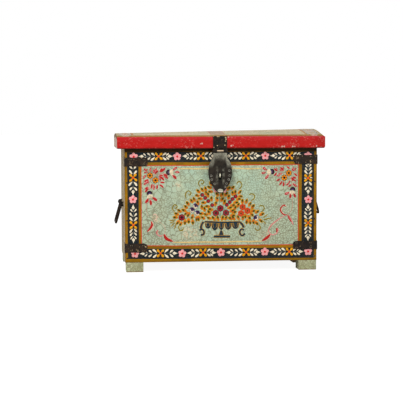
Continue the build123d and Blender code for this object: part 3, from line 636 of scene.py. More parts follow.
def even(half, blunt=0.25):
    """Half widths of a line that keeps its width and narrows to blunt at its ends."""
    return lambda t: half * (blunt + (1 - blunt) * min(1, 8 * t, 8 * (1 - t)))


def leafy(half, fullest=0.45):
    """Half widths of a leaf, fullest at a share of its length and pointed at its tip."""
    power = math.log(0.5) / math.log(fullest)
    return lambda t: half * max(0.04, math.sin(math.pi * min(t, 0.999) ** power)) ** 0.7


def bud(half):
    """Half widths of a kite-shaped bud, widest near its foot and thin at its tip."""
    return lambda t: half * max(0.08, min(t / 0.32, ((1 - t) / 0.68) ** 1.4))


def swag(half):
    """Half widths of a lobe that hangs from a rim and ends round."""
    return lambda t: half * math.sqrt(max(0.03, 1 - t ** 3))


# The brushes' paints, and what shows where each is worn: each the name of one of the
# chest's colours or a hex code.
BRUSHES = {
    "pink": ("pink", "border"), "rose": ("rose", "pink"), "cream": ("cream", "border"),
    "marigold": ("marigold", "olive"), "orange": ("orange", "marigold"),
    "leaf": ("leaf", "marigold"), "violet": ("violet", "field"), "navy": ("navy", "olive"),
    "blush": ("E3948F", "B23040"), "steel": ("9AA5A2", "border"),
    "maroon": ("421020", "crimson"), "petal": ("E6D2B0", "field"),
    "ochre": ("E2C27E", "field"), "stem": ("6A741A", "field"), "blossom": ("EC8A12", "olive"),
    "ink": ("221C10", "olive"), "vermilion": ("CA351E", "orange"),
    "faint": ("C79A84", "field"), "gilt": ("CC951E", "field"), "tawny": ("CE621C", "orange"),
    "amber": ("D07A14", "olive"), "shell": ("E4BEA6", "field"), "ruby": ("A21A28", "5A1020"),
    "old_gold": ("CC962C", "navy"), "plum": ("1A0F1E", "violet"),
    "scarlet": ("B4201E", "D8847A"),
    "dust_pink": ("D8B4A4", "BDB0A0"), "dust_rose": ("C08478", "BDB0A0"),
    "dust_gold": ("C8A470", "BDB0A0"), "dust_cream": ("D6C6AE", "BDB0A0"),
}


def brush_paints(colours, sizes):
    """Every paint of the flowers, made once, by name."""
    made = {}
    for name, pair in BRUSHES.items():
        key = f"brush_{name}"
        if key not in bpy.data.materials:
            paint, ground = (tuple(getattr(colours, code)) if hasattr(colours, code)
                             else shade(code) for code in pair)
            brush_paint(key, paint, ground, sizes)
        made[name] = bpy.data.materials[key]
    return made


def place_object(name, data):
    """A new object in the scene, with a mesh, a camera or a light for its data."""
    made = bpy.data.objects.new(name, data)
    bpy.context.scene.collection.objects.link(made)
    return made


def to_object(name, mesh, materials):
    """Ends a mesh as a named object in the scene."""
    data = bpy.data.meshes.new(name)
    mesh.to_mesh(data)
    mesh.free()
    for material in materials:
        data.materials.append(material)
    return place_object(name, data)


class Brushwork:
    """Strokes of thick paint on one face of the chest, gathered in one mesh."""

    def __init__(self, colours, sizes, skin=on_front):
        self.mesh = bmesh.new()
        self.paints = brush_paints(colours, sizes)
        self.used = []
        self.rise = sizes.paint_rise / MM
        self.skin = skin

    def close(self, rings, paint):
        """The faces of a closed form that runs through rings of points."""
        if paint not in self.used:
            self.used.append(paint)
        faces = []
        for low, high in zip(rings, rings[1:]):
            for i in range(len(low)):
                j = (i + 1) % len(low)
                faces.append((low[i], low[j], high[j], high[i]))
        for corners in (*faces, rings[0][::-1], rings[-1]):
            made = self.mesh.faces.new(corners)
            made.material_index = self.used.index(paint)
            made.smooth = True

    def point(self, u, v, lift):
        """A point of the mesh, at a place on the chest's face and a height above it."""
        return self.mesh.verts.new(self.skin(u, v, lift))

    def top(self, layer):
        """The height of a stroke's ridge in a layer, over the strokes below it."""
        return self.rise * (GROUND_RISE + LAYER_RISE * layer)

    def stroke(self, line, half, paint, layer=1):
        """A stroke along a line; half gives its half width at a share of its length."""
        top = self.top(layer)
        edge = top * SHOULDER
        section = ((-1, -SUNK), (-STROKE_FLAT, edge), (0, top),
                   (STROKE_FLAT, edge), (1, -SUNK))
        last = len(line) - 1
        rings = []
        for i, (u, v) in enumerate(line):
            back, ahead = line[max(i - 1, 0)], line[min(i + 1, last)]
            run = Vector((ahead[0] - back[0], ahead[1] - back[1])).normalized()
            wide = half(i / last)
            rings.append([self.point(u - run.y * wide * share, v + run.x * wide * share, lift)
                          for share, lift in section])
        self.close(rings, paint)

    def dab(self, centre, radius, paint, layer=1, lobes=0, depth=0.0, turn=90.0, squash=1.0):
        """A round dab, whose edge may swell into lobes."""
        top = self.top(layer)
        count = max(14, lobes * 6)
        turned = Matrix.Rotation(math.radians(turn), 2)
        rings = []
        for share, lift in ((1, -SUNK), (DAB_FLAT, top * SHOULDER), (0.5, top)):
            ring = []
            for i in range(count):
                angle = 2 * math.pi * i / count
                reach = radius * share * (1 - depth * (0.5 - 0.5 * math.cos(lobes * angle)))
                spread = turned @ Vector((reach * math.cos(angle),
                                          reach * math.sin(angle) * squash))
                ring.append(self.point(centre[0] + spread.x, centre[1] + spread.y, lift))
            rings.append(ring)
        self.close(rings, paint)

    def leaf(self, base, angle, size, half, paint, layer=1, bend=0.12, fullest=0.45):
        """A leaf that grows from its base at an angle, bending a little to one side."""
        tip = step_from(base, angle, size)
        middle = step_from(along([base, tip], 0.5), angle + 90, size * bend)
        self.stroke(curve([base, middle, tip], 4), leafy(half, fullest), paint, layer)

    def piece(self, name, body, slot):
        """Ends the brushwork as one named object that rides on a body."""
        bmesh.ops.recalc_face_normals(self.mesh, faces=self.mesh.faces)
        made = to_object(name, self.mesh, [self.paints[paint] for paint in self.used])
        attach(made, body)


# --- Motifs ------------------------------------------------------------------------
FRESH = {"pink": "pink", "blush": "blush", "rose": "rose", "gold": "marigold",
         "heart": "orange", "leaf": "cream", "stem": "steel"}
DUSTY = {"pink": "dust_pink", "blush": "dust_rose", "rose": "dust_rose", "gold": "dust_gold",
         "heart": "dust_rose", "leaf": "dust_cream", "stem": "dust_cream"}


def pink_flower(work, centre, reach, chance, paints=FRESH):
    """Five round pink petals round a red heart."""
    turn = 90 + chance.uniform(-8, 8)
    for i in range(5):
        angle = turn + 72 * i
        middle = step_from(centre, angle, reach * 0.58)
        work.dab(middle, reach * chance.uniform(0.41, 0.46), paints["pink"], 1, turn=angle,
                 squash=0.94)
        work.stroke([step_from(centre, angle + 36, reach * 0.3),
                     step_from(centre, angle + 36, reach * 0.62)], even(reach * 0.035),
                    paints["blush"], 2.2)
    work.dab(centre, reach * 0.46, paints["pink"], 1.3)
    work.dab(centre, reach * 0.36, paints["blush"], 1.8, lobes=5, depth=0.25)
    work.dab(centre, reach * 0.27, paints["rose"], 2.4)


def gold_flower(work, centre, reach, chance, paints=FRESH):
    """Four golden petals in a cross round an orange heart."""
    for angle in (45, 135, 225, 315):
        turn = angle + chance.uniform(-6, 6)
        base = step_from(centre, turn, reach * 0.18)
        work.leaf(base, turn, reach * 0.84, reach * 0.25, paints["gold"], 1, 0.03, 0.62)
    work.dab(centre, reach * 0.26, paints["heart"], 2)


def sprig(work, start, end, leaf_length, chance, paints=FRESH):
    """A stem from a gold flower to a pink one: pairs of cream leaves, then a bud."""
    run = Vector((end[0] - start[0], end[1] - start[1]))
    angle = math.degrees(math.atan2(run.y, run.x))
    tip = leaf_length * 1.35
    room = run.length - tip * 0.8
    pairs = max(2, round(room / leaf_length))
    usual = leaf_length * 0.84 + room / pairs * 0.25
    work.stroke([start, end], even(1.0), paints["stem"], 0.6)
    for pair in range(pairs):
        foot = along([start, end], pair * room / (pairs - 0.25) / run.length)
        size = usual * (1.2 - 0.16 * pair)
        for side in (-1, 1):
            turn = angle + side * chance.uniform(36, 43)
            base = step_from(foot, angle + side * 90, 1.6)
            work.leaf(base, turn, size * chance.uniform(0.88, 1.1), size * 0.205,
                      paints["leaf"], 1, 0.06 * side, 0.64)
    foot = step_from(end, angle + 180, tip)
    work.stroke(curve([foot, step_from(foot, angle, tip / 2), end], 6),
                bud(leaf_length * 0.46), paints["leaf"])


def sprigs_beside(work, run, i, gaps, leaf_length, chance, paints=FRESH, lowest=-1e6):
    """The sprigs from the gold flower at i in a run to the pink ones beside it.

    The gaps lie between a sprig's ends and the middles of its two flowers. No sprig that
    runs downwards ends below lowest.
    """
    centre = Vector(run[i])
    for neighbour in (Vector(run[i - 1]), Vector(run[i + 1])):
        way = (neighbour - centre).normalized()
        start, end = centre + way * gaps[0], neighbour - way * gaps[1]
        if abs(way.x) < abs(way.y):
            end.y = max(end.y, lowest)
        sprig(work, tuple(start), tuple(end), leaf_length, chance, paints)


# Middles of the border's flowers, pink and gold in turn, from one corner to the next.
BORDER_TOP = (388.5, (-294, -211, -148, -70, -2.5, 83, 149, 231, 294))
BORDER_BOTTOM = (62.5, (-292, -206, -133, -63, -1.5, 84, 148, 231, 295.5))
BORDER_LEFT = (-297, (388.5, 317, 244, 159.5, 62.5))
BORDER_RIGHT = (295.3, (388.5, 312.5, 240, 160, 62.5))
BORDER_SEED = 7
BOUQUET_SEED = 11
LID_SEED = 5


def border_runs():
    """The middles of each run of border flowers."""
    for height, places in (BORDER_TOP, BORDER_BOTTOM):
        yield [(place, height) for place in places]
    for across, places in (BORDER_LEFT, BORDER_RIGHT):
        yield [(across, place) for place in places]


def stray(point, chance, amount=1.2):
    """A point a little off its place, as a hand leaves it."""
    return tuple(value + chance.uniform(-amount, amount) for value in point)


def round_flower(work, centre, reach, paint, ground, heart, full=0.28):
    """A scalloped flower: petals over a darker ground, and a dark heart."""
    work.dab(centre, reach, ground, 1, lobes=6, depth=0.1)
    for i in range(6):
        angle = 90 + 60 * i
        middle = step_from(centre, angle, reach * 0.6)
        work.dab(middle, reach * full, paint, 1.8, turn=angle, squash=0.94)
    work.dab(centre, reach * 0.24, heart, 2.2)


def spray_leaf(work, foot, angle, size, half, chance):
    """A scarlet leaf with a pale rose edge, and on some a pale stroke down its middle."""
    work.leaf(foot, angle, size, half, "blush", 1, 0.05, 0.55)
    inner = step_from(foot, angle, size * 0.07)
    work.leaf(inner, angle, size * 0.88, half * 0.82, "scarlet", 1.9, 0.05, 0.55)
    if chance.random() < 0.35:
        vein = step_from(foot, angle, size * 0.25)
        work.leaf(vein, angle, size * 0.5, half * 0.3, "blush", 2.7, 0.05, 0.5)


def bell_flower(work, centre, angle, chance):
    """A dark cap with a violet edge over three cream petals."""
    for turn in (-36, 0, 36):
        foot = step_from(centre, angle + turn, -1)
        work.leaf(foot, angle + turn, 14 + chance.uniform(-1, 1.5), 5.6, "petal", 1, 0, 0.6)
    for turn in (-20, 20):
        foot = step_from(centre, angle + turn, 6)
        work.stroke([foot, step_from(foot, angle + turn * 0.5, 4)], even(0.6), "stem", 2)
    for reach, half, paint in ((8.2, 5.0, "plum"), (5.2, 2.2, "violet")):
        arc = [step_from(centre, angle + turn, reach) for turn in (94, 137, 180, 223, 266)]
        work.stroke(curve(arc, 4), leafy(half, 0.5), paint, 2 if paint == "plum" else 2.8)


BLOSSOM_REACH = 11.2
SPRAY_FULLNESS = {"leaves": 1.0, "bell_leaves": 1.3}

# The two sprays at the field's upper corners: the spray's stems, its two orange flowers,
# its bell flowers with the way they point, and its leaves, each from its foot to its tip.
SPRAYS = {
    "left": {
        "stems": (((-230, 319), (-239, 306), (-242, 293), (-242, 274)),
                  ((-230, 319), (-218, 327), (-208, 331), (-186, 331))),
        "blossoms": ((-240.5, 324.5), (-222, 308.5)),
        "bells": (((-174, 335), 2), ((-241.5, 260.5), 278)),
        "leaves": ((-253, 340, -261, 349), (-253, 339, -261, 332), (-254, 340, -248, 347),
                   (-254, 339, -248, 333), (-239, 336, -238, 351), (-227, 330, -227, 346),
                   (-224, 331, -218, 350), (-225, 328, -212, 342), (-207, 334, -199, 349),
                   (-204, 334, -188, 350), (-264, 313, -254, 327), (-245, 313, -262, 293),
                   (-246, 313, -261, 305), (-247, 311, -248, 297), (-211, 325, -196, 324),
                   (-211, 325, -206, 306), (-208, 323, -193, 307), (-197, 329, -181, 322),
                   (-195, 326, -187, 315), (-192, 326, -180, 313), (-208, 301, -191, 300),
                   (-210, 295, -195, 283), (-217, 295, -218, 278), (-235, 297, -237, 280),
                   (-232, 295, -224, 282), (-232, 285, -226, 276), (-246, 287, -259, 280),
                   (-246, 286, -258, 268), (-249, 288, -248, 278)),
        "bell_leaves": ((-164, 341, -149, 352), (-158, 335, -141, 334),
                        (-166, 326, -152, 312), (-246, 249, -257, 232),
                        (-240, 244, -238, 224), (-234, 252, -217, 239)),
    },
    "right": {
        "stems": (((190, 338), (206, 332), (220, 324), (233, 310), (240, 297), (241, 281)),),
        "blossoms": ((229, 329.5), (213.5, 314)),
        "bells": (((167, 334), 190), ((241.5, 269.5), 262)),
        "bell_leaves": ((155, 340, 140, 350), (151, 333, 135, 330), (160, 326, 148, 310),
                        (231, 265, 214, 258), (234, 261, 233, 243), (244, 262, 252, 246)),
        "leaves": ((192, 336, 177, 346), (190, 341, 186, 348), (213, 339, 199, 350),
                   (212, 338, 197, 341), (206, 343, 213, 349), (233, 343, 222, 353),
                   (247, 335, 243, 350), (249, 336, 254, 348), (246, 336, 239, 344),
                   (188, 333, 178, 320), (207, 328, 193, 327), (200, 321, 187, 322),
                   (200, 311, 186, 304), (206, 304, 196, 288), (211, 301, 210, 284),
                   (232, 305, 228, 294), (230, 297, 219, 288), (246, 329, 258, 318),
                   (238, 316, 242, 302), (238, 316, 247, 303), (241, 316, 255, 311),
                   (246, 307, 253, 301), (239, 292, 226, 284), (242, 295, 253, 283),
                   (244, 293, 257, 283)),
    },
}

# Scrolls at the field's lower corners: (points, half width, paint, swelling).
SCROLLS = (
    (((-231, 191), (-224, 195), (-217, 185), (-225, 173)), 1.7, "shell", False),
    (((-238, 172), (-234.5, 159), (-242, 146), (-252, 136)), 4.0, "scarlet", True),
    (((-216, 141), (-220, 131), (-209, 121), (-198, 124)), 2.0, "blush", False),
    (((-215, 142), (-219.5, 134), (-217, 127)), 2.4, "scarlet", True),
    (((-214, 172), (-196, 158), (-190, 143), (-194, 129)), 0.7, "faint", False),
    (((-195, 128), (-186, 112), (-164, 102)), 5.2, "scarlet", True),
    (((-251, 235), (-253, 210), (-247, 186)), 0.7, "faint", False),
    (((240, 247), (242, 221), (237, 201), (222, 188)), 0.8, "faint", False),
    (((219, 216), (211, 221), (201, 210), (203, 198), (213, 189), (223, 188)), 2.2,
     "scarlet", False),
    (((226, 187), (236, 171), (246, 152)), 2.6, "blush", True),
    (((225, 188), (232, 176), (240, 163)), 4.2, "scarlet", True),
    (((220, 188), (198, 176), (171, 156), (161, 141), (162, 129), (173, 121),
      (186, 125), (192, 134), (188, 143)), 1.7, "blush", False),
    (((198, 175), (172, 156), (162.5, 141)), 0.9, "scarlet", True),
    (((188, 145), (189, 137), (187, 129)), 3.4, "scarlet", True),
    (((166, 123), (154, 111), (137, 100)), 4.8, "scarlet", True),
)
PALE_EDGE = (2.6, -0.6)       # how far a scarlet stroke's pale edge shows past it

# The pale lines that close the field above and below.
FIELD_LINES = (
    ((-147, 345.8), (-118, 347.2), (-84, 346), (-40, 347.1), (0, 345.8), (44, 346.8),
     (90, 345.2), (137, 346.2)),
    ((-165, 99.8), (-120, 98.6), (-60, 99.2), (-10, 98.2), (60, 99.2), (100, 98.6),
     (138, 99.8)),
)
FIELD_LINE_HALF = 2.2

# The bouquet's rows of leaves: points that the leaves' middles follow, their count, and
# the way that the first and the last of them point, in degrees.
BOUQUET_ROWS = (
    (((-37, 209), (-60, 233), (-82, 256)), 5, 172, 178),
    (((-20, 228), (-41, 253), (-53, 265)), 4, 80, 102),
    (((-54, 279), (-66, 275), (-78, 270)), 3, 112, 142),
    (((-38, 270), (-41, 284)), 2, 176, 166),
    (((-15, 244), (-15, 260)), 2, 112, 124),
    (((-92, 244), (-113, 231), (-126, 208)), 5, 104, 163),
    (((-80, 233), (-67, 216), (-58, 210), (-41, 200)), 4, 106, 116),
    (((-68, 195), (-54, 192)), 2, 196, 172),
    (((-62, 181), (-62, 182)), 1, 150, 150),
    (((-142, 206), (-151, 196), (-156, 184)), 3, 150, 176),
    (((-149, 168), (-138, 161), (-125, 167), (-112, 171), (-99, 168)), 5, 232, 280),
    (((-120, 197), (-110, 190), (-88, 180), (-78, 179)), 5, 228, 278),
    (((28, 214), (49, 232), (64, 251)), 5, 10, 2),
    (((10, 234), (33, 258), (46, 266)), 4, 66, 92),
    (((24, 279), (38, 280), (61, 266)), 3, 52, 50),
    (((2, 242), (2, 259), (16, 259)), 3, 62, 58),
    (((72, 235), (85, 235), (96, 225), (107, 216), (121, 199), (137, 191)), 6, 78, 26),
    (((57, 222), (46, 212), (35, 204)), 3, 64, 40),
    (((38, 188), (43, 198)), 2, 8, 12),
    (((106, 202), (107, 203)), 1, 12, 12),
    (((85, 167), (96, 165), (108, 165), (119, 161), (133, 169)), 5, 262, 318),
    (((102, 191), (102, 191)), 1, 318, 318),
    (((81, 185), (94, 181)), 2, 284, 300),
    (((-41, 180), (-13, 179)), 3, 160, 110),
    (((3, 179), (14, 179)), 2, 74, 62),
    (((30, 179), (48, 180), (73, 179)), 4, 166, 84),
    (((-36, 295), (-36, 295)), 1, 124, 124),
    (((22, 294), (22, 294)), 1, 58, 58),
)
BOUQUET_STEMS = (
    ((-2, 172), (-12, 205), (-40, 236), (-70, 265)),
    ((0, 172), (10, 212), (32, 240), (54, 262)),
    ((-4, 172), (-34, 200), (-64, 212), (-92, 214)),
    ((3, 172), (30, 202), (62, 216), (96, 210)),
    ((-8, 172), (-50, 186), (-100, 182), (-150, 172)),
    ((8, 172), (52, 186), (96, 186), (138, 178)),
    ((-2, 172), (-4, 200), (-8, 250)),
)
BOUQUET_CURLS = (
    ((-73, 286), (-78, 299), (-69, 309), (-60, 303), (-64, 295), (-69, 298)),
    ((-119, 245), (-122, 261), (-113, 272), (-103, 266), (-107, 258), (-112, 261)),
    ((-158, 203), (-166, 214), (-159, 226), (-150, 221), (-153, 214), (-158, 216)),
    ((-146, 155), (-142, 141), (-133, 139), (-129, 148)),
    ((58, 276), (65, 281.5), (69, 290), (66, 298.5), (60, 302), (53.5, 299), (53, 293)),
    ((100, 237), (108, 241.5), (112.5, 249), (111, 256), (105, 260), (98, 260), (93, 257)),
    ((134, 199), (141, 203.5), (145, 210), (143, 217), (137, 220.5), (131, 220), (128, 217)),
    ((128, 154), (131, 149), (131.5, 143.5), (128, 138.5), (122, 137), (116.5, 139),
     (116, 146)),
)
BOUQUET_WISPS = (
    ((-154, 174), (-179, 174)), ((-158, 170), (-176, 165)), ((-157, 167), (-173, 151)),
    ((-153, 161), (-160, 143)), ((140, 178), (158, 191)), ((142, 173), (172, 179)),
    ((142, 172), (159, 175)), ((139, 170), (152, 157)),
)
ROSES = ((-4, 212.5), (-19.5, 196.5), (15, 197), (-134.5, 183))
MARIGOLDS = ((71.5, 216), (88, 203), (66, 194.5))
ASTERS = (((-88, 221), 60), ((-100, 208), 60), ((-82, 197), 60), ((117, 179), 150))
BERRIES = ((-65, 258), (-55, 248), (-45, 237), (-31.5, 223.5),
           (47.5, 252), (37, 243.5), (28, 233.5), (18, 224))
TIP_FLOWERS = (((-18, 276), 11.5), ((8, 274), 10.5))
ROSE_REACH = 11.8
BERRY_REACH = 6.9
STEM_HALF = 0.55
CURL_HALVES = (1.9, 1.25)     # of the gilt stroke and of the olive one on it
WISP_HALVES = (1.9, 1.0)


def bouquet_leaf(work, middle, angle, size, chance):
    """A leaf with a gilt rim, orange at its foot and dark green towards its tip."""
    size = size * chance.uniform(0.94, 1.08)
    turn = angle + chance.uniform(-7, 7)
    base = step_from(middle, turn + 180, size / 2)
    work.leaf(base, turn, size, size * 0.31, "gilt", 1, 0.04, 0.48)
    foot = step_from(base, turn, size * 0.14)
    work.leaf(foot, turn, size * 0.56, size * 0.19, "tawny", 1.9, 0.03, 0.5)
    side = chance.choice((-1, 1))
    heart = step_from(step_from(base, turn, size * 0.42), turn + side * 90, size * 0.04)
    work.leaf(heart, turn, size * 0.46, size * 0.165, "leaf", 2.6, 0.02, 0.42)


def aster(work, centre, lit, chance):
    """A small violet flower with pale petals on one side."""
    work.dab(centre, 10.0, "violet", 1, lobes=7, depth=0.12, turn=lit)
    for turn in (108, 144, 180, 216, 252):
        petal = step_from(centre, lit + turn, 6.4)
        work.dab(petal, 2.8 + chance.uniform(-0.3, 0.3), "petal", 1.8, turn=lit + turn,
                 squash=0.8)
    cap = [step_from(centre, lit + turn, 5.6) for turn in (-62, -31, 0, 31, 62)]
    work.stroke(curve(cap, 4), leafy(2.2, 0.5), "plum", 2)
    work.dab(centre, 2.8, "plum", 2.6)


# The bowl: its rim, its five hanging lobes (middle, half width, bottom), its handles, each
# an arm over a hook, its stem and its base.
BOWL_RIM = ((-58, 168), (-28, 166.2), (0, 164.8), (30, 164.8), (64, 165.4))
BOWL_LOBES = ((-46, 11.2, 144.5), (-23, 12.2, 138.5), (-1, 10.2, 139.5),
              (22, 12.6, 140), (47, 12.8, 142.5))
LOBE_TOP = 162.5
BOWL_ARMS = (
    ((-60.5, 167.5), (-66, 161), (-69.5, 152), (-69.8, 144)),
    ((62.5, 164.5), (69, 158.5), (73, 152), (74.5, 146.5)),
)
BOWL_HOOKS = (
    ((-72.3, 140.3), (-67, 142.5), (-61.5, 139), (-59.5, 131), (-62, 124.5), (-68, 123.5)),
    ((74, 139.5), (68, 141.5), (63, 137), (62, 129), (66, 121), (72, 119.8), (77, 124.5)),
)
BOWL_STEM = ((-1.5, 138), (-1.4, 132), (-1.2, 122))
BOWL_BASE = ((-26.5, 117.6), (1, 117.2), (28.5, 117))


def gilded(work, line, half, rim, layer=1.0):
    """A dark blue stroke with a gold rim."""
    work.stroke(line, lambda t: half(t) + rim, "old_gold", layer)
    work.stroke(line, half, "navy", layer + 0.8)


def flower_bowl(work):
    """The footed bowl that carries the bouquet."""
    for middle, half, bottom in BOWL_LOBES:
        drop, inner = ([(middle, LOBE_TOP + (bottom - LOBE_TOP) * share * i / 8)
                        for i in range(9)] for share in (1, 0.72))
        gilded(work, drop, swag(half - 0.9), 1.2)
        lobe = swag(half * 0.62)
        work.stroke(inner, lobe, "old_gold", 2.3)
        work.stroke(inner, lambda t, lobe=lobe: max(0.6, lobe(t) - 1.2), "navy", 3)
    gilded(work, curve(BOWL_RIM, 5), even(3.0, 0.8), 1.2, 2.6)
    for arm in BOWL_ARMS:
        gilded(work, curve(arm, 5), even(3.6, 0.7), 1.3)
    for hook in BOWL_HOOKS:
        gilded(work, curve(hook, 5), even(3.0, 0.8), 1.2)
        for end in (hook[0], hook[-1]):
            work.dab(end, 3.4, "navy", 2.2)
    gilded(work, curve(BOWL_STEM, 4), lambda t: 2.6 + 6.2 * t ** 1.3, 1.2)
    gilded(work, curve(BOWL_BASE, 4), even(3.8, 0.9), 1.3)


# Punched rings on the hasp: how far each lies from its middle line and below its pin.
RINGS = ((-30.5, 83.5), (-28.5, 96), (-18.5, 110),
         (30.5, 66), (31, 82.5), (28.5, 96), (21, 109.5), (16, 120.5))
RING_REACH = 3.1
RING_WIRE = 0.8
PLATE_FACE = 1.25             # the hasp's face, in front of the pin's axis
RING_STEPS = 20
WIRE_STEPS = 8


def ring_mesh(mesh, centre):
    """A round ring that faces the front."""
    rings = []
    for i in range(RING_STEPS):
        turn = 2 * math.pi * i / RING_STEPS
        out = Vector((math.cos(turn), 0, math.sin(turn)))
        ring = []
        for j in range(WIRE_STEPS):
            lean = 2 * math.pi * j / WIRE_STEPS
            point = centre + out * (RING_REACH + RING_WIRE * math.cos(lean))
            point = point + Vector((0, -RING_WIRE * math.sin(lean), 0))
            ring.append(mesh.verts.new(point * MM))
        rings.append(ring)
    for i in range(RING_STEPS):
        near_ring, far_ring = rings[i], rings[(i + 1) % RING_STEPS]
        for j in range(WIRE_STEPS):
            k = (j + 1) % WIRE_STEPS
            made = mesh.faces.new((near_ring[j], near_ring[k], far_ring[k], far_ring[j]))
            made.smooth = True


# --- The lid's painted top ---------------------------------------------------------
LID_BOARDS = [f"lid_board_{name}" for name in ("front", "middle", "back")]
LID_BORDER = (26, 24)         # the flowers' distance from the lid's front and back edges
LID_FLOWERS = 7               # flowers in each of the two rows
LID_PINK_REACH = 13
LID_GOLD_REACH = 12.5
LID_LEAF = 11
LID_SPRIG_GAPS = (7, 15)      # between a sprig's ends and the middles of its flowers


def on_lid(u, v, rise):
    """A point on the lid's boards, u across and v back, standing rise above them."""
    for name in LID_BOARDS:
        hit, where, _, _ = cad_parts[name].ray_cast(Vector((u * MM, v * MM, 1)),
                                                         Vector((0, 0, -1)))
        if hit:
            return Vector((u, v, where.z / MM + rise)) * MM
    return Vector((u, v, LID_EDGE + rise)) * MM


# --- Stage -------------------------------------------------------------------------
CAMERA_PLACE = (-463.6, -4172.0, 520.7)
CAMERA_TURN = 5.65            # degrees to the right
CAMERA_DIP = 4.05             # degrees down
CAMERA_ROLL = -0.15
CAMERA_LENS = 107.2           # on a sensor 36 wide
CAMERA_SIGHT = 100            # metres
FLOOR_REACH = 30.0            # metres
FLOOR_DROP = 0.0004           # metres below the feet
LAMPS = {                     # places in metres and powers in watts
    "key": {"place": (-1.3, -2.7, 3.1), "power": 105.0, "size": 1.1},
    "fill": {"place": (2.4, -3.4, 1.3), "power": 30.0, "size": 2.4},
}
LAMP_AIM = Vector((0, 0, 0.22))
WORLD_LIGHT = 0.42
FLOOR_GLOW = 0.92
FLOOR_TONE = 0.34
FLOOR_MIRRORED = 0.86


def camera():
    """The camera, in front of the chest and a little to its left, above the lid."""
    data = bpy.data.cameras.new("view")
    data.lens = CAMERA_LENS
    data.clip_end = CAMERA_SIGHT
    turn = Matrix.Rotation(math.radians(-CAMERA_TURN), 4, "Z")
    dip = Matrix.Rotation(math.radians(90 - CAMERA_DIP), 4, "X")
    roll = Matrix.Rotation(math.radians(CAMERA_ROLL), 4, "Z")
    made = place_object("view", data)
    made.matrix_world = Matrix.Translation(Vector(CAMERA_PLACE) * MM) @ turn @ dip @ roll
    bpy.context.scene.camera = made


def lamp(name, place, power, size):
    """A square soft lamp that looks at the chest."""
    data = bpy.data.lights.new(name, "AREA")
    data.energy = power
    data.size = size
    made = place_object(name, data)
    made.location = place
    aim = LAMP_AIM - Vector(place)
    made.rotation_euler = aim.to_track_quat("-Z", "Y").to_euler()


def floor():
    """A pale floor that stays white to the camera and keeps the chest's shadow."""
    f = Finish("floor_paper", 0.0)
    f.surface(Base_Color=(FLOOR_MIRRORED,) * 3, Roughness=0.9)
    glow = f.node("ShaderNodeEmission", values={"Color": (1, 1, 1), "Strength": FLOOR_GLOW})
    grey = f.node("ShaderNodeBsdfDiffuse", values={"Color": (FLOOR_TONE,) * 3})
    lit = f.node("ShaderNodeAddShader", values={0: grey, 1: glow})
    plain = Value(f, f.shader.outputs[0])
    mixed = f.node("ShaderNodeMixShader", values={0: f.seen(), 1: plain, 2: lit})
    f.feed(f.output.inputs["Surface"], mixed)
    mesh = bmesh.new()
    bmesh.ops.create_grid(mesh, x_segments=8, y_segments=8, size=FLOOR_REACH)
    bmesh.ops.translate(mesh, verts=mesh.verts, vec=(0, 0, -FLOOR_DROP))
    made = to_object("floor", mesh, [f.material])


def sky():
    """Even white light from all round, pure white where the camera sees it."""
    world = bpy.data.worlds.new("studio")
    world.use_nodes = True
    bpy.context.scene.world = world
    nodes = Nodes(world.node_tree)
    back = nodes.tree.nodes["Background"]
    nodes.feed(back.inputs["Color"], (1, 1, 1))
    nodes.feed(back.inputs["Strength"], nodes.seen() * (1 - WORLD_LIGHT) + WORLD_LIGHT)


# --- Operators ---------------------------------------------------------------------
def finish_nodes(material, *beginnings):
    """Gives one material to the frame's nodes whose names begin in one of these ways."""
    for name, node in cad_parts.items():
        if name.startswith(beginnings):
            node.data.materials.clear()
            node.data.materials.append(material)


class Step:
    """What the operators share: each one makes its part of the chest's looks."""

    def execute(self, context):
        scene = context.scene
        self.make(scene.chest_colours, scene.chest_sizes)
        return {"FINISHED"}


class CHEST_OT_panels(Step, bpy.types.Operator):
    """Paint the front, the ends, the back and the feet"""
    bl_idname = "chest.panels"
    bl_label = "Paint panels"

    def make(self, colours, sizes):
        finish_nodes(front_paint(colours, sizes), "front_panel")
        ends = faded_paint("side_paint", tuple(colours.side), ALONG_Z, sizes, 0.5,
                           bare_inside=True)
        finish_nodes(ends, "side_panel_")
        finish_nodes(foot_paint(colours, sizes), "foot_")
        finish_nodes(aged_wood("plain_wood"), "back_panel", "floor_boards")
        finish_nodes(aged_wood("cross_wood", ALONG_Y), "floor_bearer_", "lid_battens")


class CHEST_OT_lid(Step, bpy.types.Operator):
    """Paint the lid's red front rail, its end and back rails and its boards"""
    bl_idname = "chest.lid"
    bl_label = "Paint lid"

    def make(self, colours, sizes):
        finish_nodes(lid_red_paint(colours), "lid_front_rail")
        finish_nodes(lid_top_paint(colours, sizes), *LID_BOARDS)
        pale = faded_paint("rail_paint", shade(END_RAIL), ALONG_Y, sizes, 0.3,
                           bare_inside=True)
        finish_nodes(pale, "lid_end_rail_")
        back = faded_paint("back_rail_paint", tuple(colours.side), ALONG_X, sizes, 0.9)
        finish_nodes(back, "lid_back_rail")


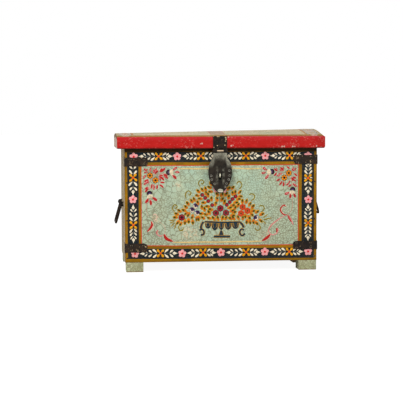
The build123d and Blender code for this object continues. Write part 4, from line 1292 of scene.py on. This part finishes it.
class CHEST_OT_ironwork(Step, bpy.types.Operator):
    """Finish the straps, hinges, handles, hasp and nails"""
    bl_idname = "chest.ironwork"
    bl_label = "Finish ironwork"

    def make(self, colours, sizes):
        finish_nodes(forged_iron("strap_iron", "1C1610", 0.7, 0.2, painted_return=True),
                     "corner_strap_")
        finish_nodes(forged_iron("dark_strap_iron", "0C0907", 0.35, 0.1, painted_return=True,
                                 rust="1E1510"),
                     "corner_strap_lower_right")
        finish_nodes(forged_iron("handle_iron", "1B1714", 0.2, 0.5), "handle_", "hinge_")
        finish_nodes(forged_iron("hasp_strap_iron", "120E0B", 0.4, 0.15, bare=STRAP_CHIPS,
                                 rust="2A1F16"), "hasp_lid_strap", "hasp_strap_nails")
        finish_nodes(hasp_iron(), "hasp_plate")
        finish_nodes(pin_iron(), "hasp_pin")
        # The staple's crown: rubbed iron, painted near white as a painted highlight.
        finish_nodes(bright_iron("staple_iron", "F0ECD4", "CFC6A4", 0.1), "hasp_staple")
        finish_nodes(forged_iron("nail_iron", "3A2E24", 0.4, 0.5), "panel_nails",
                     "floor_nails", "lid_board_nails", "hinge_nails_")


class CHEST_OT_border(Step, bpy.types.Operator):
    """Paint the border's pink and gold flowers and the sprigs between them"""
    bl_idname = "chest.border"
    bl_label = "Paint border flowers"

    def make(self, colours, sizes):
        reach, leaf_length = sizes.petal_reach / MM, sizes.leaf_length / MM
        strap_top = edges("corner_strap_lower_left")[1].z
        chance = random.Random(BORDER_SEED)
        pinks, golds, sprigs = (Brushwork(colours, sizes) for _ in range(3))
        drawn = set()
        for run in border_runs():
            for i, centre in enumerate(run):
                key = tuple(round(value / 20) for value in centre)
                if i % 2 == 0 and key not in drawn:
                    drawn.add(key)
                    pink_flower(pinks, stray(centre, chance), reach, chance)
                if i % 2 == 1:
                    gold_flower(golds, stray(centre, chance, 0.6), reach * 1.2, chance)
                    sprigs_beside(sprigs, run, i, (reach * 0.9, reach * 1.1), leaf_length,
                                  chance, lowest=strap_top + 1)
                    if run[0][0] == BORDER_RIGHT[0]:
                        for turn in (0, 180):
                            base = step_from(centre, turn, reach * 0.45)
                            sprigs.leaf(base, turn, leaf_length * 0.62, 1.8, "cream")
        pinks.piece("border_pink_flowers", "carcass", "front_paint")
        golds.piece("border_gold_flowers", "carcass", "front_paint")
        sprigs.piece("border_sprigs", "carcass", "front_paint")


class CHEST_OT_sprays(Step, bpy.types.Operator):
    """Paint the sprays in the field's upper corners"""
    bl_idname = "chest.sprays"
    bl_label = "Paint corner sprays"

    def make(self, colours, sizes):
        for side, spray in SPRAYS.items():
            chance = random.Random(side)
            work = Brushwork(colours, sizes)
            for stem in spray["stems"]:
                work.stroke(curve(stem), even(0.9), "faint", 0.3)
            for kind, fullness in SPRAY_FULLNESS.items():
                for foot_x, foot_z, tip_x, tip_z in spray[kind]:
                    run = Vector((tip_x - foot_x, tip_z - foot_z))
                    angle = math.degrees(math.atan2(run.y, run.x))
                    half = (1.6 + run.length * 0.12 + chance.uniform(-0.3, 0.3)) * fullness
                    spray_leaf(work, (foot_x, foot_z), angle, run.length, half, chance)
            for centre, angle in spray["bells"]:
                bell_flower(work, centre, angle, chance)
            for centre in spray["blossoms"]:
                round_flower(work, centre, BLOSSOM_REACH, "blossom", "ink", "ink", 0.31)
            work.piece(f"corner_spray_{side}", "carcass", "front_paint")


class CHEST_OT_scrolls(Step, bpy.types.Operator):
    """Paint the scarlet scrolls and the pale lines that close the field"""
    bl_idname = "chest.scrolls"
    bl_label = "Paint scrolls"

    def make(self, colours, sizes):
        work = Brushwork(colours, sizes)
        for points, half, paint, swelling in SCROLLS:
            width = leafy(half, 0.5) if swelling else even(half, 0.3)
            line = curve(points, 8)
            if paint == "scarlet":
                edge = [(u + PALE_EDGE[0], v + PALE_EDGE[1]) for u, v in line]
                work.stroke(edge, width, "shell", 1)
            work.stroke(line, width, paint, 2)
        work.piece("corner_scrolls", "carcass", "front_paint")
        lines = Brushwork(colours, sizes)
        for points in FIELD_LINES:
            lines.stroke(curve(points, 14), even(FIELD_LINE_HALF, 0.6), "ochre", 0.8)
        lines.piece("field_lines", "carcass", "front_paint")


class CHEST_OT_bouquet(Step, bpy.types.Operator):
    """Paint the footed bowl and its bouquet"""
    bl_idname = "chest.bouquet"
    bl_label = "Paint bowl and bouquet"

    def make(self, colours, sizes):
        chance = random.Random(BOUQUET_SEED)
        bowl, stems, leaves, flowers = (Brushwork(colours, sizes) for _ in range(4))
        flower_bowl(bowl)
        bowl.piece("flower_bowl", "carcass", "front_paint")
        for points in BOUQUET_STEMS:
            stems.stroke(curve(points, 8), even(STEM_HALF, 0.5), "stem", 0.4)
        for points in BOUQUET_CURLS:
            line = curve(points)
            stems.stroke(line, even(CURL_HALVES[0], 0.5), "gilt", 1)
            olive = [step_from(point, 100, 0.5) for point in line]
            stems.stroke(olive, even(CURL_HALVES[1], 0.4), "stem", 2)
        for points in BOUQUET_WISPS:
            stems.stroke(curve(points, 4), leafy(WISP_HALVES[0], 0.5), "gilt", 1)
            stems.stroke(curve(points, 4), leafy(WISP_HALVES[1], 0.3), "stem", 2)
        stems.piece("bouquet_stems", "carcass", "front_paint")
        size = sizes.bowl_leaf / MM
        for points, count, first, last in BOUQUET_ROWS:
            line = curve(points, 8)
            for i in range(count):
                share = i / max(count - 1, 1)
                middle = stray(along(line, share), chance, 0.8)
                bouquet_leaf(leaves, middle, first + (last - first) * share, size, chance)
        leaves.piece("bouquet_leaves", "carcass", "front_paint")
        for centre in ROSES:
            round_flower(flowers, centre, ROSE_REACH, "ruby", "maroon", "ink")
        for centre in MARIGOLDS:
            round_flower(flowers, centre, ROSE_REACH, "vermilion", "amber", "maroon", 0.34)
        for centre, lit in ASTERS:
            aster(flowers, centre, lit, chance)
        for centre in BERRIES:
            flowers.dab(centre, BERRY_REACH, "maroon", 1.2)
            shine = step_from(centre, -30, BERRY_REACH * 0.16)
            flowers.dab(shine, BERRY_REACH * 0.7, "ruby", 2.2)
        for centre, reach in TIP_FLOWERS:
            pink_flower(flowers, centre, reach, chance)
        flowers.piece("bouquet_flowers", "carcass", "front_paint")


class CHEST_OT_lid_flowers(Step, bpy.types.Operator):
    """Paint the pale flowers on the dark bands of the lid's top"""
    bl_idname = "chest.lid_flowers"
    bl_label = "Paint lid flowers"

    def make(self, colours, sizes):
        chance = random.Random(LID_SEED)
        middle = HALF_LID - (END_LINES[0] + END_LINES[1]) / 2
        front = RAIL_HIGH.y + LID_BORDER[0]
        back = edges("lid_board_back")[1].y - LID_BORDER[1]
        for side, name in ((-1, "left"), (1, "right")):
            work = Brushwork(colours, sizes, on_lid)
            places = [(side * middle, front + (back - front) * i / (LID_FLOWERS - 1))
                      for i in range(LID_FLOWERS)]
            for i, centre in enumerate(places):
                if i % 2 == 0:
                    pink_flower(work, stray(centre, chance), LID_PINK_REACH, chance, DUSTY)
                else:
                    gold_flower(work, stray(centre, chance), LID_GOLD_REACH, chance, DUSTY)
                    sprigs_beside(work, places, i, LID_SPRIG_GAPS, LID_LEAF, chance, DUSTY)
            work.piece(f"lid_flowers_{name}", "lid", "lid_paint")


class CHEST_OT_hasp_rings(Step, bpy.types.Operator):
    """Punch the rings along the hasp's edges"""
    bl_idname = "chest.hasp_rings"
    bl_label = "Punch hasp rings"

    def make(self, colours, sizes):
        mesh = bmesh.new()
        for across, drop in RINGS:
            ring_mesh(mesh, Vector((HASP_X + across, PIN_Y - PLATE_FACE, PIN_Z - drop)))
        bmesh.ops.recalc_face_normals(mesh, faces=mesh.faces)
        iron = bright_iron("ring_iron", "908C7E", "5E5A4E", 0.3)
        made = to_object("hasp_rings", mesh, [iron])
        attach(made, "hasp")


class CHEST_OT_stage(Step, bpy.types.Operator):
    """Set up the floor, the light and the camera"""
    bl_idname = "chest.stage"
    bl_label = "Set the stage"

    def make(self, colours, sizes):
        floor()
        sky()
        for name, settings in LAMPS.items():
            lamp(name, **settings)
        camera()
        bpy.context.scene.view_settings.view_transform = "Standard"


class CHEST_PT_finishes(bpy.types.Panel):
    """The chest's finishes, in the order in which they are made"""
    bl_idname = "CHEST_PT_finishes"
    bl_label = "Damchiya Chest"
    bl_space_type = "VIEW_3D"
    bl_region_type = "UI"
    bl_category = "Chest"

    def draw(self, context):
        layout = self.layout
        for group in (context.scene.chest_colours, context.scene.chest_sizes):
            for name in group.bl_rna.properties.keys():
                if name not in ("rna_type", "name"):
                    layout.prop(group, name)
        for operator in OPERATORS:
            layout.operator(operator.bl_idname)


OPERATORS = (CHEST_OT_panels, CHEST_OT_lid, CHEST_OT_ironwork, CHEST_OT_border,
             CHEST_OT_sprays, CHEST_OT_scrolls, CHEST_OT_bouquet, CHEST_OT_lid_flowers,
             CHEST_OT_hasp_rings, CHEST_OT_stage)
CLASSES = (ChestColours, ChestSizes, *OPERATORS, CHEST_PT_finishes)


def register():
    for made in CLASSES:
        bpy.utils.register_class(made)
    bpy.types.Scene.chest_colours = bpy.props.PointerProperty(type=ChestColours)
    bpy.types.Scene.chest_sizes = bpy.props.PointerProperty(type=ChestSizes)


def unregister():
    del bpy.types.Scene.chest_sizes
    del bpy.types.Scene.chest_colours
    for made in reversed(CLASSES):
        bpy.utils.unregister_class(made)


def main():
    """Dresses the chest, one operator after another."""
    register()
    for operator in OPERATORS:
        _, name = operator.bl_idname.split(".")
        getattr(bpy.ops.chest, name)()


if __name__ == "__main__":
    main()
